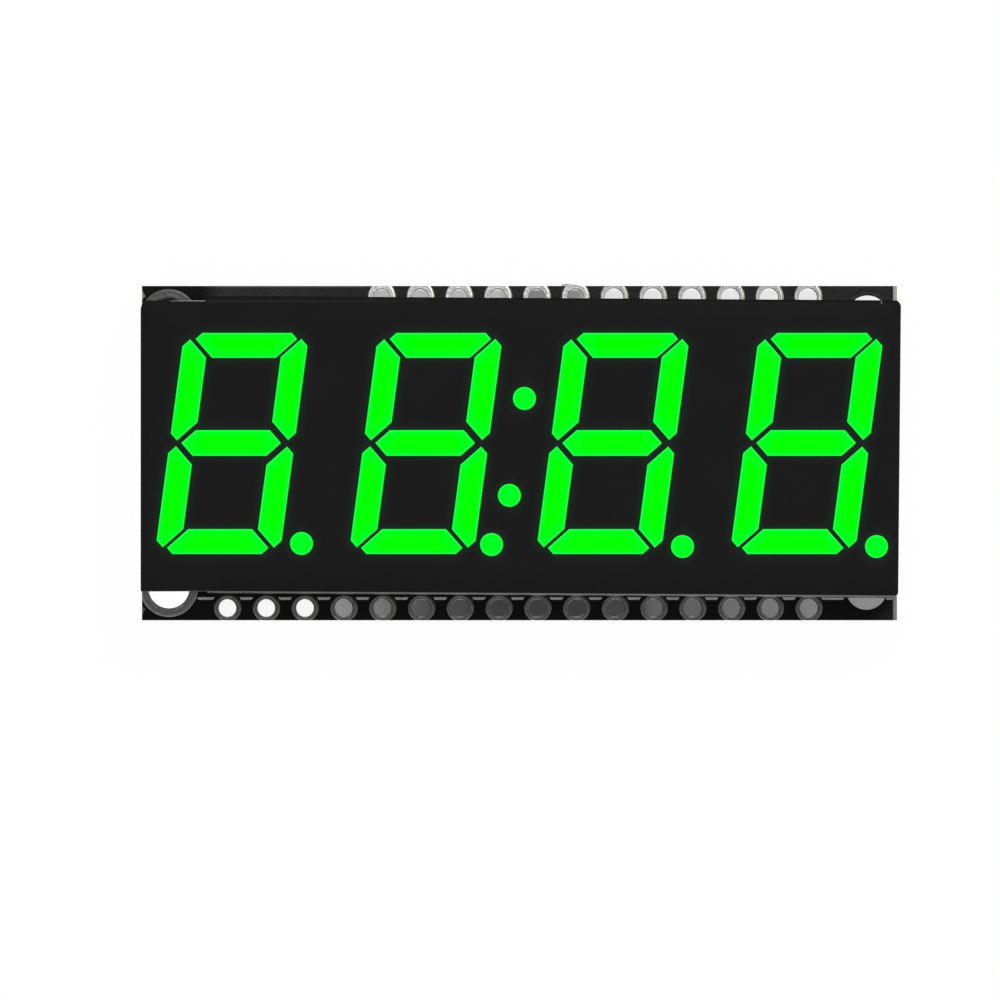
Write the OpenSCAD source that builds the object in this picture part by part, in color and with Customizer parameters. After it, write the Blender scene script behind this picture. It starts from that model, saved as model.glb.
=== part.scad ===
// Four-digit seven segment display module: a black plug-in board with two rows of
// header holes, a 0.56 inch class LED display on top and its driver chip underneath.
// It lies on its back. X runs along the digits, Y up the digits and Z out of the face.
// The origin is under the middle of the display, on the surface that the chip rests on.
// All sizes are in millimetres.

/* [Circuit board] */
// Length of the board along X
board_l = 49.48; // [41:0.1:60]
// Width of the board along Y
board_w = 21.82; // [20:0.1:27]
// Thickness of the board
board_t = 1.6; // [0.8:0.1:2.4]
// Distance of the board's middle from the display's middle, towards -X
board_back = 0.08; // [0:0.01:0.1]
// Width of the bevel that a snapped score line leaves along the board's +X edge
score_w = 0.26; // [0.1:0.01:0.4]
// Height of that bevel on each face of the board
score_h = 0.45; // [0.1:0.05:0.6]
// Thickness of the copper and tin on pads and in holes
plating_t = 0.05; // [0.03:0.01:0.08]

/* [Header holes] */
// Pitch of the header holes
header_pitch = 2.54; // [2:0.01:3.1]
// Radius of a header hole inside its plating
header_hole_r = 0.575; // [0.56:0.005:0.65]
// Radius of the pad around a header hole
header_pad_r = 0.86; // [0.75:0.01:1.1]
// Board left between a header hole's plating and the board's long edge
header_web = 0.125; // [0.05:0.005:0.5]
// Number of holes that the short row lacks at its -X end
short_row_lacks = 4; // [0:1:8]
// Distance of the hole pattern's middle from the board's middle, towards -X
pattern_back = 0.12; // [0:0.01:0.2]

/* [Corner holes] */
// Radius of a corner hole
corner_hole_r = 1.35; // [1.1:0.05:1.65]
// Radius of the pad around each corner hole at the -X end
corner_pad_r = 1.9; // [1.8:0.01:2.2]
// Distance of the corner holes from the board's short edges, along X
corner_inset_x = 1.88; // [1.8:0.01:2.3]
// Distance of the corner holes from the board's long edges, along Y
corner_inset_y = 2.02; // [1.8:0.01:2.5]

/* [Display body] */
// How much longer than the board the display is, on each side of its own middle
display_overhang = 0.025; // [0:0.005:1]
// Board left beside the display on each long side, if the display were in its middle
display_setback = 1.16; // [1:0.01:1.8]
// Height of the display body
display_h = 8; // [5:0.1:10]
// How far the display and its pins sit off the board's middle, towards +Y
display_up = 0.45; // [0:0.005:0.5]
// Turn of the body on the board in degrees, clockwise from above, within the play of its pins
body_turn = 0.38; // [0:0.01:0.5]
// Draft of the body's long sides: how far the face lies in from the foot
side_draft = 0.17; // [0:0.01:0.3]
// Radius of the body's upright corners at +X
shell_corner_r = 0.26; // [0.1:0.01:0.8]
// Length of the body's narrower end, at -X
narrow_end = 4.25; // [0.5:0.05:6]
// Width of that end, which has no draft
narrow_end_w = 18.96; // [18.6:0.02:19.4]
// How far that end sits off the board's middle, towards +Y
narrow_end_up = 0.52; // [0:0.01:0.6]
// Bevel along the edge of the face
face_bevel = 0.12; // [0.05:0.01:0.3]
// Thickness of the side walls around the rear recess
shell_wall = 0.6; // [0.5:0.05:1]
// Thickness of the LED board inside the display
led_board_t = 1; // [0.6:0.1:1.2]
// Clearance of the LED board inside the shell
led_board_gap = 0.1; // [0.05:0.05:0.3]
// Thickness of the potting behind the LED board
potting_t = 1.2; // [0.8:0.1:1.6]
// Gap between the potting and the circuit board
potting_gap = 0.2; // [0.1:0.05:0.4]
// Edge length of an LED chip
led_chip = 0.34; // [0.2:0.02:0.5]
// Height of an LED chip
led_chip_h = 0.15; // [0.1:0.01:0.25]

/* [Digits] */
// Face left beside the outer digits
digit_margin_x = 1.915; // [1.5:0.005:2.5]
// Face left above and below the digits
digit_margin_y = 2.37; // [2.1:0.005:3]
// How far the digits sit above the middle of the face
digit_raise = 0.195; // [0:0.005:0.3]
// Face between the digits of each pair
digit_space = 4.515; // [4:0.005:5.5]
// Face between the two pairs, where the colon is
colon_space = 4.05; // [3.8:0.01:5.5]
// Slant of the digits in degrees
digit_slant = 7.55; // [0:0.05:10]
// Width of the bars of a digit
stroke = 1.64; // [1.2:0.01:2]
// Width of the middle bar
middle_stroke = 1.64; // [1.2:0.01:2]
// Width of the top and bottom bars
end_stroke = 1.59; // [1.2:0.01:2]
// Blunting of the upright bars' tips
side_tip_cut = 0.45; // [0.2:0.01:0.5]
// Blunting of the top and bottom bars' tips
end_tip_cut = 0.38; // [0.2:0.01:0.5]
// Gap along X between the mitred tips of two bars
mitre_gap = 0.37; // [0.25:0.01:0.6]
// Gap between the tips of the upper and lower upright bars
waist_gap = 0.5; // [0.3:0.01:0.8]
// Distance of the middle bar's tips from the digit's sides
middle_tip_inset = 0.88; // [0.8:0.01:1.2]
// Shift of the top bar along +X and of the bottom bar along -X
end_bar_lean = 0.03; // [0:0.005:0.1]
// Shift of the middle bar off the digit's middle
middle_bar_shift = [-0.06, 0.025]; // [-0.1:0.005:0.1]

/* [Decimal points and colon] */
// Diameter of the round lights
dot_d = 1.47; // [1.2:0.01:1.8]
// Distance of a decimal point's middle from its digit's right side
point_out = 0.46; // [0.4:0.01:0.6]
// How much nearer the point before the colon lies to its digit
second_point_in = 0.26; // [0:0.01:0.3]
// Height of the decimal points' middles above the digits' lower ends
point_rise = 0.48; // [0.4:0.01:0.8]
// Distance between the colon's dots along Y
colon_pitch = 6.33; // [5:0.01:7]
// Distance between the colon's dots along X, which follows the slant
colon_lean = 0.98; // [0:0.01:1]

/* [Display pins] */
// Pitch of the pins in each row
pin_pitch = 2.54; // [2:0.01:3.1]
// Number of pins in each row
pins_a_row = 7; // [4:1:8]
// Distance of each pin row from the foot's long side
pin_inset = 2.13; // [1.5:0.01:2.4]
// Width of a pin along X
pin_w = 0.5; // [0.3:0.05:0.5]
// Thickness of a pin along Y
pin_t = 0.25; // [0.2:0.05:0.25]
// How far the pins stand out under the board
pin_tail = 1; // [0.9:0.1:1.6]
// Clearance of a pin's corners in its plated hole
pin_clearance = 0.15; // [0.03:0.01:0.25]
// Radius of the pads around the pins
pin_pad_r = 0.9; // [0.8:0.01:1.1]
// Height of the solder cones around the pins
pin_solder_h = 0.75; // [0.4:0.05:0.8]

/* [Driver chip] */
// Body left past the outer leads at each end of the chip
chip_end = 0.695; // [0.5:0.005:1]
// Width of the chip's body at its parting line
chip_w = 7.5; // [6:0.1:9]
// Thickness of the chip's body
chip_t = 2.4; // [1.8:0.1:2.6]
// Gap between the chip's body and the board
chip_gap = 0.25; // [0.2:0.01:0.4]
// Reach of the leads beyond the chip's body
lead_reach = 1.4; // [1.25:0.01:1.6]
// Pitch of the chip's leads
lead_pitch = 1.27; // [1:0.01:1.55]
// Number of leads on each side of the chip
leads_a_side = 14; // [8:1:14]
// Width of a lead
lead_w = 0.42; // [0.3:0.01:0.5]
// Thickness of a lead
lead_t = 0.25; // [0.15:0.01:0.3]
// Length of a lead's foot
lead_foot = 0.85; // [0.6:0.05:1.1]
// Draft of the body's moulded sides in degrees
chip_draft = 7; // [3:1:10]
// Bevel along the chip's first-lead side
chip_bevel = 0.45; // [0.2:0.05:0.6]

/* [Small parts on the back] */
// Length, width and height of the bulk capacitor
bulk_capacitor_size = [3.2, 1.6, 1.2];
// Length, width and height of the bypass capacitor
bypass_capacitor_size = [2.0, 1.25, 0.85];
// Length, width and height of each pull-up resistor
resistor_size = [1.6, 0.8, 0.45];
// Length of the metal caps on the small parts' ends
cap_l = 0.35; // [0.2:0.05:0.5]
// Thickness of the metal on those caps
cap_t = 0.04; // [0.02:0.01:0.06]
// How far the solder reaches past those caps
small_solder = 0.45; // [0.2:0.05:0.6]
// Gap of each address jumper between its two pads
jumper_gap = 0.3; // [0.2:0.05:0.5]

/* [Hidden] */
$fn = 48;
digits = 4;
letters = ["a", "b", "c", "d", "e", "f", "g"];

// Levels
board_z0 = chip_gap + chip_t;                  // underside of the board
board_z1 = board_z0 + board_t;                 // top of the board
face_z = board_z1 + display_h;                 // face of the display
potting_z0 = board_z1 + potting_gap;
led_board_z0 = potting_z0 + potting_t;
led_board_z1 = led_board_z0 + led_board_t;     // top of the LED board
cavity_depth = face_z - led_board_z1;          // of the light cavities, from the face

// Plan of the board
board_x = -board_back;
pattern_x = board_x - pattern_back;
corner_x = board_l / 2 - corner_inset_x;
corner_y = board_w / 2 - corner_inset_y;
header_y = board_w / 2 - header_web - header_hole_r - plating_t;
// As many holes as fit between the pads of the corner holes
header_run = 2 * (corner_x - corner_pad_r - header_pad_r);
long_row_count = floor(header_run / header_pitch) + 1;
long_row = [for (i = [0 : long_row_count - 1])
    [pattern_x + (i - (long_row_count - 1) / 2) * header_pitch, -header_y]];
short_row = [for (i = [short_row_lacks : long_row_count - 1]) [long_row[i][0], header_y]];
plated_corners = [for (side = [-1, 1]) [pattern_x - corner_x, side * corner_y]];
plain_corners = [for (side = [-1, 1]) [pattern_x + corner_x, side * corner_y]];

// Plan of the display
display_l = board_l + 2 * display_overhang;
display_w = board_w - 2 * display_setback;
recess_l = display_l - 2 * shell_wall;
recess_w = display_w - 2 * shell_wall;
digit_w = (display_l - 2 * digit_margin_x - 2 * digit_space - colon_space) / digits;
face_w = display_w - 2 * side_draft;
digit_h = face_w - 2 * digit_margin_y;
half_w = digit_w / 2;
half_h = digit_h / 2;
digit_y = display_up + digit_raise;
pair_pitch = digit_w + digit_space;
middle_pitch = digit_w + colon_space;
outer_x = middle_pitch / 2 + pair_pitch;
colon_off = -0.078;                            // the row of digits sits this far off the middle
digit_x = [for (x = [-outer_x, -middle_pitch / 2, middle_pitch / 2, outer_x]) x + colon_off];
point_lift = [0.2, 0.13, 0, 0];                // the first two points sit a little higher
point_x = [for (i = [0 : digits - 1])
    digit_x[i] + half_w + point_out - (i == 1 ? second_point_in : 0)];
point_y = [for (i = [0 : digits - 1]) digit_y - half_h + point_rise + point_lift[i]];
colon_middle = [-0.247, display_up - 0.03];   // middle of the colon

// Pins
pin_y = display_w / 2 - pin_inset;             // from the display's middle
pin_hole_r = norm([pin_w / 2, pin_t / 2]) + pin_clearance;
pin_xs = [for (i = [0 : pins_a_row - 1]) (i - (pins_a_row - 1) / 2) * pin_pitch];
pin_rows = [-1, 1];
pin_z0 = board_z0 - pin_tail;

// Driver chip
chip_l = (leads_a_side - 1) * lead_pitch + 2 * chip_end;
chip_span = chip_w + 2 * lead_reach;
solder_t = 0.04;                               // solder under leads and caps
foot_z = board_z0 - solder_t;                  // top of a lead's foot
lead_z = chip_t / 2;                           // middle of a lead where it leaves the body
lead_root = 0.3;                               // length of a lead inside the body
lead_knee = 0.4;                               // length of a lead's first level part
leg_y0 = chip_w / 2 + lead_knee;
leg_y1 = chip_span / 2 - lead_foot + lead_t / 2;
lead_xs = [for (i = [0 : leads_a_side - 1]) (i - (leads_a_side - 1) / 2) * lead_pitch];
chip_pad_w = lead_w + 0.2;
chip_solder_out = 0.4;                         // solder past the toes of the feet

// Places of the small parts: middle, and turn about Z
bulk_capacitor_at = [-14.2, 2.2, 90];
bypass_capacitor_at = [-14.2, -2.4, 90];
data_resistor_at = [13.2, 2.2, 90];
clock_resistor_at = [13.2, -2.2, 90];
small_parts = [
    [bulk_capacitor_size, bulk_capacitor_at],
    [bypass_capacitor_size, bypass_capacitor_at],
    [resistor_size, data_resistor_at],
    [resistor_size, clock_resistor_at]
];
jumper_pad = [1.1, 1.5];
jumper_x = 17.6;
jumper_ys = [-2.6, 0, 2.6];

function bar_name(d, letter) = str("digit_", d, "_segment_", letter);
function point_name(d) = str("digit_", d, "_decimal_point");

// ---- outlines of the seven bars, about the middle of an upright digit ----

function moved(points, by) = [for (p = points) p + by];
function flip_x(points) = [for (p = points) [-p[0], p[1]]];
function flip_y(points) = [for (p = points) [p[0], -p[1]]];
function slanted(points) = [for (p = points) [p[0] + p[1] * tan(digit_slant), p[1]]];
function middle_of(points) = [for (axis = [0, 1]) sum_of(points, axis) / len(points)];
function sum_of(points, axis, i = 0) =
    i == len(points) ? 0 : points[i][axis] + sum_of(points, axis, i + 1);

// Upper right upright bar: mitred at both ends, with blunted tips
function side_bar() = [
    [half_w - stroke, half_h - stroke],
    [half_w - side_tip_cut, half_h - side_tip_cut],
    [half_w, half_h - 2 * side_tip_cut],
    [half_w, waist_gap / 2 + side_tip_cut],
    [half_w - side_tip_cut, waist_gap / 2],
    [half_w - stroke, waist_gap / 2 + stroke - side_tip_cut]
];

// Top bar: held back from the upright bars by the mitre gap
function end_bar() =
    let (tip = half_w - side_tip_cut - mitre_gap, root = tip - end_stroke + end_tip_cut)
    [
        [-tip, half_h - end_tip_cut],
        [-tip + end_tip_cut, half_h],
        [tip - end_tip_cut, half_h],
        [tip, half_h - end_tip_cut],
        [root, half_h - end_stroke],
        [-root, half_h - end_stroke]
    ];

// Middle bar: pointed at both ends
function middle_bar() =
    let (tip = half_w - middle_tip_inset, rise = middle_stroke / 2)
    [[-tip, 0], [rise - tip, rise], [tip - rise, rise], [tip, 0], [tip - rise, -rise], [rise - tip, -rise]];

function upright_bar(letter) =
    letter == "a" ? moved(end_bar(), [end_bar_lean, 0]) :
    letter == "b" ? side_bar() :
    letter == "c" ? flip_y(side_bar()) :
    letter == "d" ? moved(flip_y(end_bar()), [-end_bar_lean, 0]) :
    letter == "e" ? flip_x(flip_y(side_bar())) :
    letter == "f" ? flip_x(side_bar()) :
    moved(middle_bar(), middle_bar_shift);

function bar_points(d, letter) =
    [for (p = slanted(upright_bar(letter))) p + [digit_x[d - 1], digit_y]];
function point_at(d) = [point_x[d - 1], point_y[d - 1]];
function colon_at(side) = colon_middle + side * [colon_lean, colon_pitch] / 2;

all_dots = concat([for (d = [1 : digits]) point_at(d)], [colon_at(-1), colon_at(1)]);
all_bars = [for (d = [1 : digits]) for (letter = letters) bar_points(d, letter)];
led_places = concat([for (bar = all_bars) middle_of(bar)], all_dots);

// ---- shared shapes ----

// A box standing on z0, centred on x and y
module slab(x, y, z0, size_x, size_y, size_z) {
    translate([x - size_x / 2, y - size_y / 2, z0]) cube([size_x, size_y, size_z]);
}

// A profile in Y and Z, extruded along X about the middle
module along_x(length) {
    translate([-length / 2, 0, 0]) rotate([90, 0, 90]) linear_extrude(length) children();
}

// The bare board: a slab whose +X edge keeps the two bevels of its score line
module board_blank() {
    x0 = board_x - board_l / 2;
    x1 = board_x + board_l / 2;
    translate([0, board_w / 2, 0]) rotate([90, 0, 0]) linear_extrude(board_w)
        polygon([[x0, board_z0], [x1 - score_w, board_z0], [x1, board_z0 + score_h],
                 [x1, board_z1 - score_h], [x1 - score_w, board_z1], [x0, board_z1]]);
}

// Plating of one hole: a tube through the board with a flush ring on each face
module plated_hole(at, hole_r, pad_r) {
    intersection() {
        difference() {
            translate([at[0], at[1], 0]) union() {
                translate([0, 0, board_z0]) cylinder(r = pad_r, h = plating_t);
                translate([0, 0, board_z1 - plating_t]) cylinder(r = pad_r, h = plating_t);
                translate([0, 0, board_z0]) cylinder(r = hole_r + plating_t, h = board_t);
            }
            translate([at[0], at[1], board_z0 - 1]) cylinder(r = hole_r, h = board_t + 2);
        }
        board_blank();
    }
}

// What the board gives up for that plating
module plated_hole_cut(at, hole_r, pad_r) {
    translate([at[0], at[1], 0]) {
        translate([0, 0, board_z0 - 1]) cylinder(r = pad_r, h = 1 + plating_t);
        translate([0, 0, board_z1 - plating_t]) cylinder(r = pad_r, h = 1 + plating_t);
        translate([0, 0, board_z0 - 1]) cylinder(r = hole_r + plating_t, h = board_t + 2);
    }
}

pin_holes = [for (row = pin_rows) for (x = pin_xs) [x, display_up + row * pin_y]];

// ---- circuit board ----

module circuit_board() {
    color("#17181a") difference() {
        board_blank();
        for (at = long_row) plated_hole_cut(at, header_hole_r, header_pad_r);
        for (at = short_row) plated_hole_cut(at, header_hole_r, header_pad_r);
        for (at = plated_corners) plated_hole_cut(at, corner_hole_r, corner_pad_r);
        for (at = pin_holes) plated_hole_cut(at, pin_hole_r, pin_pad_r);
        for (at = plain_corners)
            translate([at[0], at[1], board_z0 - 1]) cylinder(r = corner_hole_r, h = board_t + 2);
    }
}

module header_pads(row) {
    color("#c9cbcc") for (at = row) plated_hole(at, header_hole_r, header_pad_r);
}

module corner_pads() {
    color("#8d8f88") for (at = plated_corners) plated_hole(at, corner_hole_r, corner_pad_r);
}

module display_pin_pads() {
    color("#c9cbcc") for (at = pin_holes) plated_hole(at, pin_hole_r, pin_pad_r);
}

// Three pairs of pads that can be bridged with solder to set the module's address
module address_jumper_pads() {
    color("#c9cbcc") for (y = jumper_ys) for (side = [-1, 1])
        slab(jumper_x + side * (jumper_pad[0] + jumper_gap) / 2, y, foot_z,
             jumper_pad[0], jumper_pad[1], solder_t);
}

// ---- display ----

// Puts what is drawn about the origin in the place of the display's body
module as_seated() {
    translate([0, display_up, 0]) rotate([0, 0, -body_turn]) children();
}

module display_outline() {
    r = shell_corner_r;
    square([display_l - 2 * r, display_w], center = true);
    square([display_l, display_w - 2 * r], center = true);
    for (sx = [-1, 1]) for (sy = [-1, 1])
        translate([sx * (display_l / 2 - r), sy * (display_w / 2 - r)]) circle(r);
}

// Section of the body's block: its foot and face have their own widths, and its upper edges are bevelled
module bevelled_section(foot, face) {
    polygon([[-foot / 2, 0], [foot / 2, 0], [face / 2, display_h - face_bevel],
             [face / 2 - face_bevel, display_h], [face_bevel - face / 2, display_h],
             [-face / 2, display_h - face_bevel]]);
}

module display_block() {
    intersection() {
        linear_extrude(display_h) display_outline();
        along_x(display_l + 1) bevelled_section(display_w, face_w);
        rotate([0, 0, 90]) along_x(display_w + 1) bevelled_section(display_l, display_l);
    }
}

// A prism of one light cavity, from the LED board up to the face
module cavity(points, extra = 0) {
    translate([0, 0, led_board_z1]) linear_extrude(cavity_depth + extra) polygon(points);
}

module dot_cavity(at, extra = 0) {
    translate([at[0], at[1], led_board_z1]) cylinder(d = dot_d, h = cavity_depth + extra);
}

// What the narrower end leaves away on both long sides
module narrow_end_cut() {
    for (side = [-1, 1])
        slab(-display_l / 2, narrow_end_up + side * (narrow_end_w / 2 + 1), board_z1 - 1,
             2 * narrow_end, 2, display_h + 2);
}

module display_shell() {
    color("#1c1c1c") difference() {
        as_seated() difference() {
            translate([0, 0, board_z1]) display_block();
            slab(0, 0, board_z1 - 1, recess_l, recess_w, 1 + display_h - cavity_depth);
        }
        narrow_end_cut();
        for (bar = all_bars) cavity(bar, 1);
        for (dot = all_dots) dot_cavity(dot, 1);
    }
}

module led_pocket(at) {
    slab(at[0], at[1], led_board_z1 - 1, led_chip, led_chip, 1 + led_chip_h);
}

module light_bar(d, letter) {
    points = bar_points(d, letter);
    color("#00ff20") difference() {
        cavity(points);
        led_pocket(middle_of(points));
    }
}

module light_dot(at) {
    color("#00ff20") difference() {
        dot_cavity(at);
        led_pocket(at);
    }
}

module pin(x, row) {
    slab(x, display_up + row * pin_y, pin_z0, pin_w, pin_t, led_board_z1 - pin_z0);
}

module all_pins() {
    for (row = pin_rows) for (x = pin_xs) pin(x, row);
}

module led_board() {
    color("#e8e6da") difference() {
        as_seated() slab(0, 0, led_board_z0, recess_l - 2 * led_board_gap,
                         recess_w - 2 * led_board_gap, led_board_t);
        all_pins();
    }
}

module led_chips() {
    color("#d9c46a") for (at = led_places)
        slab(at[0], at[1], led_board_z1, led_chip, led_chip, led_chip_h);
}

module display_potting() {
    color("#d8dccf") difference() {
        as_seated() slab(0, 0, potting_z0, recess_l, recess_w, led_board_z0 - potting_z0);
        all_pins();
    }
}

module display_pin_row(row) {
    color("#b9bbbd") for (x = pin_xs) pin(x, row);
}

module display_pin_solder() {
    cone_tip_r = pin_hole_r - 0.03;
    color("#bfc1c3") difference() {
        for (at = pin_holes) translate([at[0], at[1], 0]) {
            translate([0, 0, board_z0]) cylinder(r = pin_hole_r, h = board_t);
            translate([0, 0, board_z0 - pin_solder_h])
                cylinder(r1 = cone_tip_r, r2 = pin_pad_r, h = pin_solder_h);
        }
        all_pins();
    }
}

// ---- driver chip, hanging under the board with its flat top down ----

// Section of the body across half_size, drafted both ways from the parting line
module chip_section(size, bevel) {
    inset = tan(chip_draft) * chip_t / 2;
    edge = size / 2 - inset;
    polygon([[-edge, chip_t], [-size / 2, lead_z], [-edge, bevel], [bevel - edge, 0],
             [edge, 0], [size / 2, lead_z], [edge, chip_t]]);
}

module lead_section() {
    y_root = chip_w / 2 - lead_root;
    polygon([
        [y_root, lead_z - lead_t / 2], [leg_y0 + lead_t / 2, lead_z - lead_t / 2],
        [leg_y1 + lead_t / 2, foot_z - lead_t], [chip_span / 2, foot_z - lead_t],
        [chip_span / 2, foot_z], [leg_y1 - lead_t / 2, foot_z],
        [leg_y0 - lead_t / 2, lead_z + lead_t / 2], [y_root, lead_z + lead_t / 2]
    ]);
}

module all_leads() {
    for (turn = [0, 180]) rotate([0, 0, turn])
        for (x = lead_xs) translate([x, 0, 0]) along_x(lead_w) lead_section();
}

module driver_chip() {
    color("#232426") difference() {
        intersection() {
            along_x(chip_l + 1) chip_section(chip_w, chip_bevel);
            rotate([0, 0, 90]) along_x(chip_w + 1) chip_section(chip_l, 0.05);
        }
        all_leads();
    }
}

module driver_chip_leads() {
    color("#a9abad") all_leads();
}

// Pad and solder under one foot, with a fillet at the toe and another at the heel
module lead_solder_section() {
    heel = leg_y1 - lead_t / 2;
    heel_rise = 0.25;
    heel_slope = (leg_y0 - leg_y1) / (foot_z - lead_z - lead_t / 2);
    polygon([
        [heel - heel_rise, board_z0], [chip_span / 2 + chip_solder_out, board_z0],
        [chip_span / 2 + chip_solder_out, foot_z], [chip_span / 2, foot_z - 0.8 * lead_t],
        [chip_span / 2, foot_z], [heel, foot_z],
        [heel + heel_rise * heel_slope, foot_z - heel_rise], [heel - heel_rise, foot_z]
    ]);
}

module driver_chip_solder() {
    color("#bfc1c3") for (turn = [0, 180]) rotate([0, 0, turn])
        for (x = lead_xs) translate([x, 0, 0]) along_x(chip_pad_w) lead_solder_section();
}

// ---- small parts, also under the board ----

module placed(at) {
    translate([at[0], at[1], foot_z]) rotate([0, 0, at[2]]) children();
}

module small_body(size) {
    slab(0, 0, cap_t - size[2], size[0] - 2 * cap_t, size[1] - 2 * cap_t, size[2] - 2 * cap_t);
}

module small_caps(size) {
    difference() {
        for (side = [-1, 1])
            slab(side * (size[0] - cap_l) / 2, 0, -size[2], cap_l, size[1], size[2]);
        small_body(size);
    }
}

// A pad of solder under each cap, with a wedge climbing the cap's end
module small_solders(size) {
    for (turn = [0, 180]) rotate([0, 0, turn])
        rotate([0, 0, 90]) along_x(size[1])
            polygon([
                [-size[0] / 2 + cap_l, solder_t], [-size[0] / 2 - small_solder, solder_t],
                [-size[0] / 2 - small_solder, 0], [-size[0] / 2, -0.6 * size[2]],
                [-size[0] / 2, 0], [-size[0] / 2 + cap_l, 0]
            ]);
}

module bulk_capacitor() {
    color("#8a6a4c") placed(bulk_capacitor_at) small_body(bulk_capacitor_size);
}

module bypass_capacitor() {
    color("#8a6a4c") placed(bypass_capacitor_at) small_body(bypass_capacitor_size);
}

module pullup_resistor(at) {
    color("#1d1e20") placed(at) small_body(resistor_size);
}

module small_part_end_caps() {
    color("#c4c6c8") for (part = small_parts) placed(part[1]) small_caps(part[0]);
}

module small_part_solder() {
    color("#bfc1c3") for (part = small_parts) placed(part[1]) small_solders(part[0]);
}

// ---- assembly ----

circuit_board();
header_pads(long_row);  // long_row_pads
header_pads(short_row);  // short_row_pads
corner_pads();
display_pin_pads();
address_jumper_pads();
display_shell();
for (d = [1 : digits]) for (letter = letters)
    light_bar(d, letter);
for (d = [1 : digits])
    light_dot(point_at(d));
light_dot(colon_at(1));  // colon_upper_dot
light_dot(colon_at(-1));  // colon_lower_dot
led_board();
led_chips();
display_potting();
display_pin_row(1);  // upper_display_pins
display_pin_row(-1);  // lower_display_pins
display_pin_solder();
driver_chip();
driver_chip_leads();
driver_chip_solder();
bulk_capacitor();
bypass_capacitor();
pullup_resistor(data_resistor_at);  // data_pullup_resistor
pullup_resistor(clock_resistor_at);  // clock_pullup_resistor
small_part_end_caps();
small_part_solder();
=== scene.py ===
import math

import bmesh
import bpy
import numpy as np
from mathutils import Matrix, Vector
from mathutils.geometry import delaunay_2d_cdt


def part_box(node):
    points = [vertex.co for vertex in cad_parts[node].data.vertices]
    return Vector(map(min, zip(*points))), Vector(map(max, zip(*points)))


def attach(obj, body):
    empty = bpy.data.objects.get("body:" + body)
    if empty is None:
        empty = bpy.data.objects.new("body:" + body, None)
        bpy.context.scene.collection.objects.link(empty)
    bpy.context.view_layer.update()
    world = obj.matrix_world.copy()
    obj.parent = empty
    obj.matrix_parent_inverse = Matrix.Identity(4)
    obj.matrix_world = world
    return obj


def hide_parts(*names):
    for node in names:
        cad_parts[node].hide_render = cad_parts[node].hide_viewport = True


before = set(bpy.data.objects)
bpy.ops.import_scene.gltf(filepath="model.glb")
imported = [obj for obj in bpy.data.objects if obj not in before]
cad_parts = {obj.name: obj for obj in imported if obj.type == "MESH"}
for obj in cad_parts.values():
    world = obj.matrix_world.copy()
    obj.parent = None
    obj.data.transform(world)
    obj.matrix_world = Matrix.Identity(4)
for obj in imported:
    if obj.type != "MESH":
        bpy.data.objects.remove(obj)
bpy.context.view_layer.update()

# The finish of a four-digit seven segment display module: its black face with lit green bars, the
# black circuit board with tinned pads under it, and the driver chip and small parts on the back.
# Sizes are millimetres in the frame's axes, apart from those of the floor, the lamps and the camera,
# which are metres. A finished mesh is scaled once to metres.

scene = bpy.context.scene
MM = 0.001
TAU = math.tau


# ---------------------------------------------------------------- sizes from the frame

def box_mm(node):
    """The lowest and highest corner of a CAD node, in millimetres."""
    low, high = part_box(node)
    return low / MM, high / MM


def middle(low, high):
    """The point halfway between two corners."""
    return (low + high) / 2


PITCH = 2.54                      # of the header holes and of the display's pins
HOLE_R = 0.575                    # header hole inside its plating
PAD_R = 0.86                      # pad round a header hole
UPPER_HOLE_R = 0.605              # the holes of the short row came out wider
UPPER_PAD_R = 0.89
UPPER_STRETCH = 1.2               # its pads are longer towards the edge than round ones
THICK_HOLE_R = 0.55               # but its first six are plated thicker
THICK_HOLES = 6
CORNER_HOLE_R = 1.35              # all four corner holes, two of them with pads
CORNER_PAD_R = 1.9
PIN_PAD_R = 0.9                   # pad round a hole for a display pin
PIN_SOLDER_R = 0.46               # the solder that fills a pin's hole
PIN_HOLE_R = PIN_SOLDER_R + 0.03
PIN_W = 0.5                       # of the display's pins, along X
PLATING = 0.05                    # wall of a plated hole
PAD_RISE = 0.035                  # how far a tinned pad stands above the laminate
MASK = 0.02                       # thickness of the solder mask
MASK_GAP = 0.03                   # bare laminate left round a pad
MASK_SLIP = 0.035                 # the mask's openings lie this far off the pads, towards +X
NARROW_END_X = -20.515            # where the narrower end of the display's body begins
NARROW_END = (-9.025, 9.99)       # the long sides of that end, along Y
WORN_WALLS = (-20.6, -5.0)        # the body's walls grow rougher along X, from the second to the first
SCORE_W = 0.26                    # bevels of the snapped score line on the board's +X edge
SCORE_H = 0.45
EDGE_SPARE = (0.02, 0.07)         # the board is cut this much wider than drawn, below and above

# How far the drill went off the drawn places, along X and Y.
LONG_ROW_DRIFT = (0.03, 0.03)
SHORT_ROW_DRIFT = (-0.03, 0.07)
PLATED_DRIFTS = [(0.0, 0.09), (0.0, -0.04)]      # of the lower and the upper plated corner hole
PLAIN_DRIFTS = [(0.0, 0.0), (0.08, 0.12)]        # and of the two plain ones

board_low, board_high = box_mm("circuit_board")
board_mid = middle(board_low, board_high)
deck = board_high.z               # top of the board
belly = board_low.z               # underside of the board
edge_low = board_low.y - EDGE_SPARE[0]
edge_high = board_high.y + EDGE_SPARE[1]
long_low, long_high = box_mm("long_row_pads")
short_low, short_high = box_mm("short_row_pads")
corner_high = box_mm("corner_pads")[1]
pin_pad_low, pin_pad_high = box_mm("display_pin_pads")
shell_low, shell_high = box_mm("display_shell")
potting_low, potting_high = box_mm("display_potting")
face_z = shell_high.z


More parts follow.
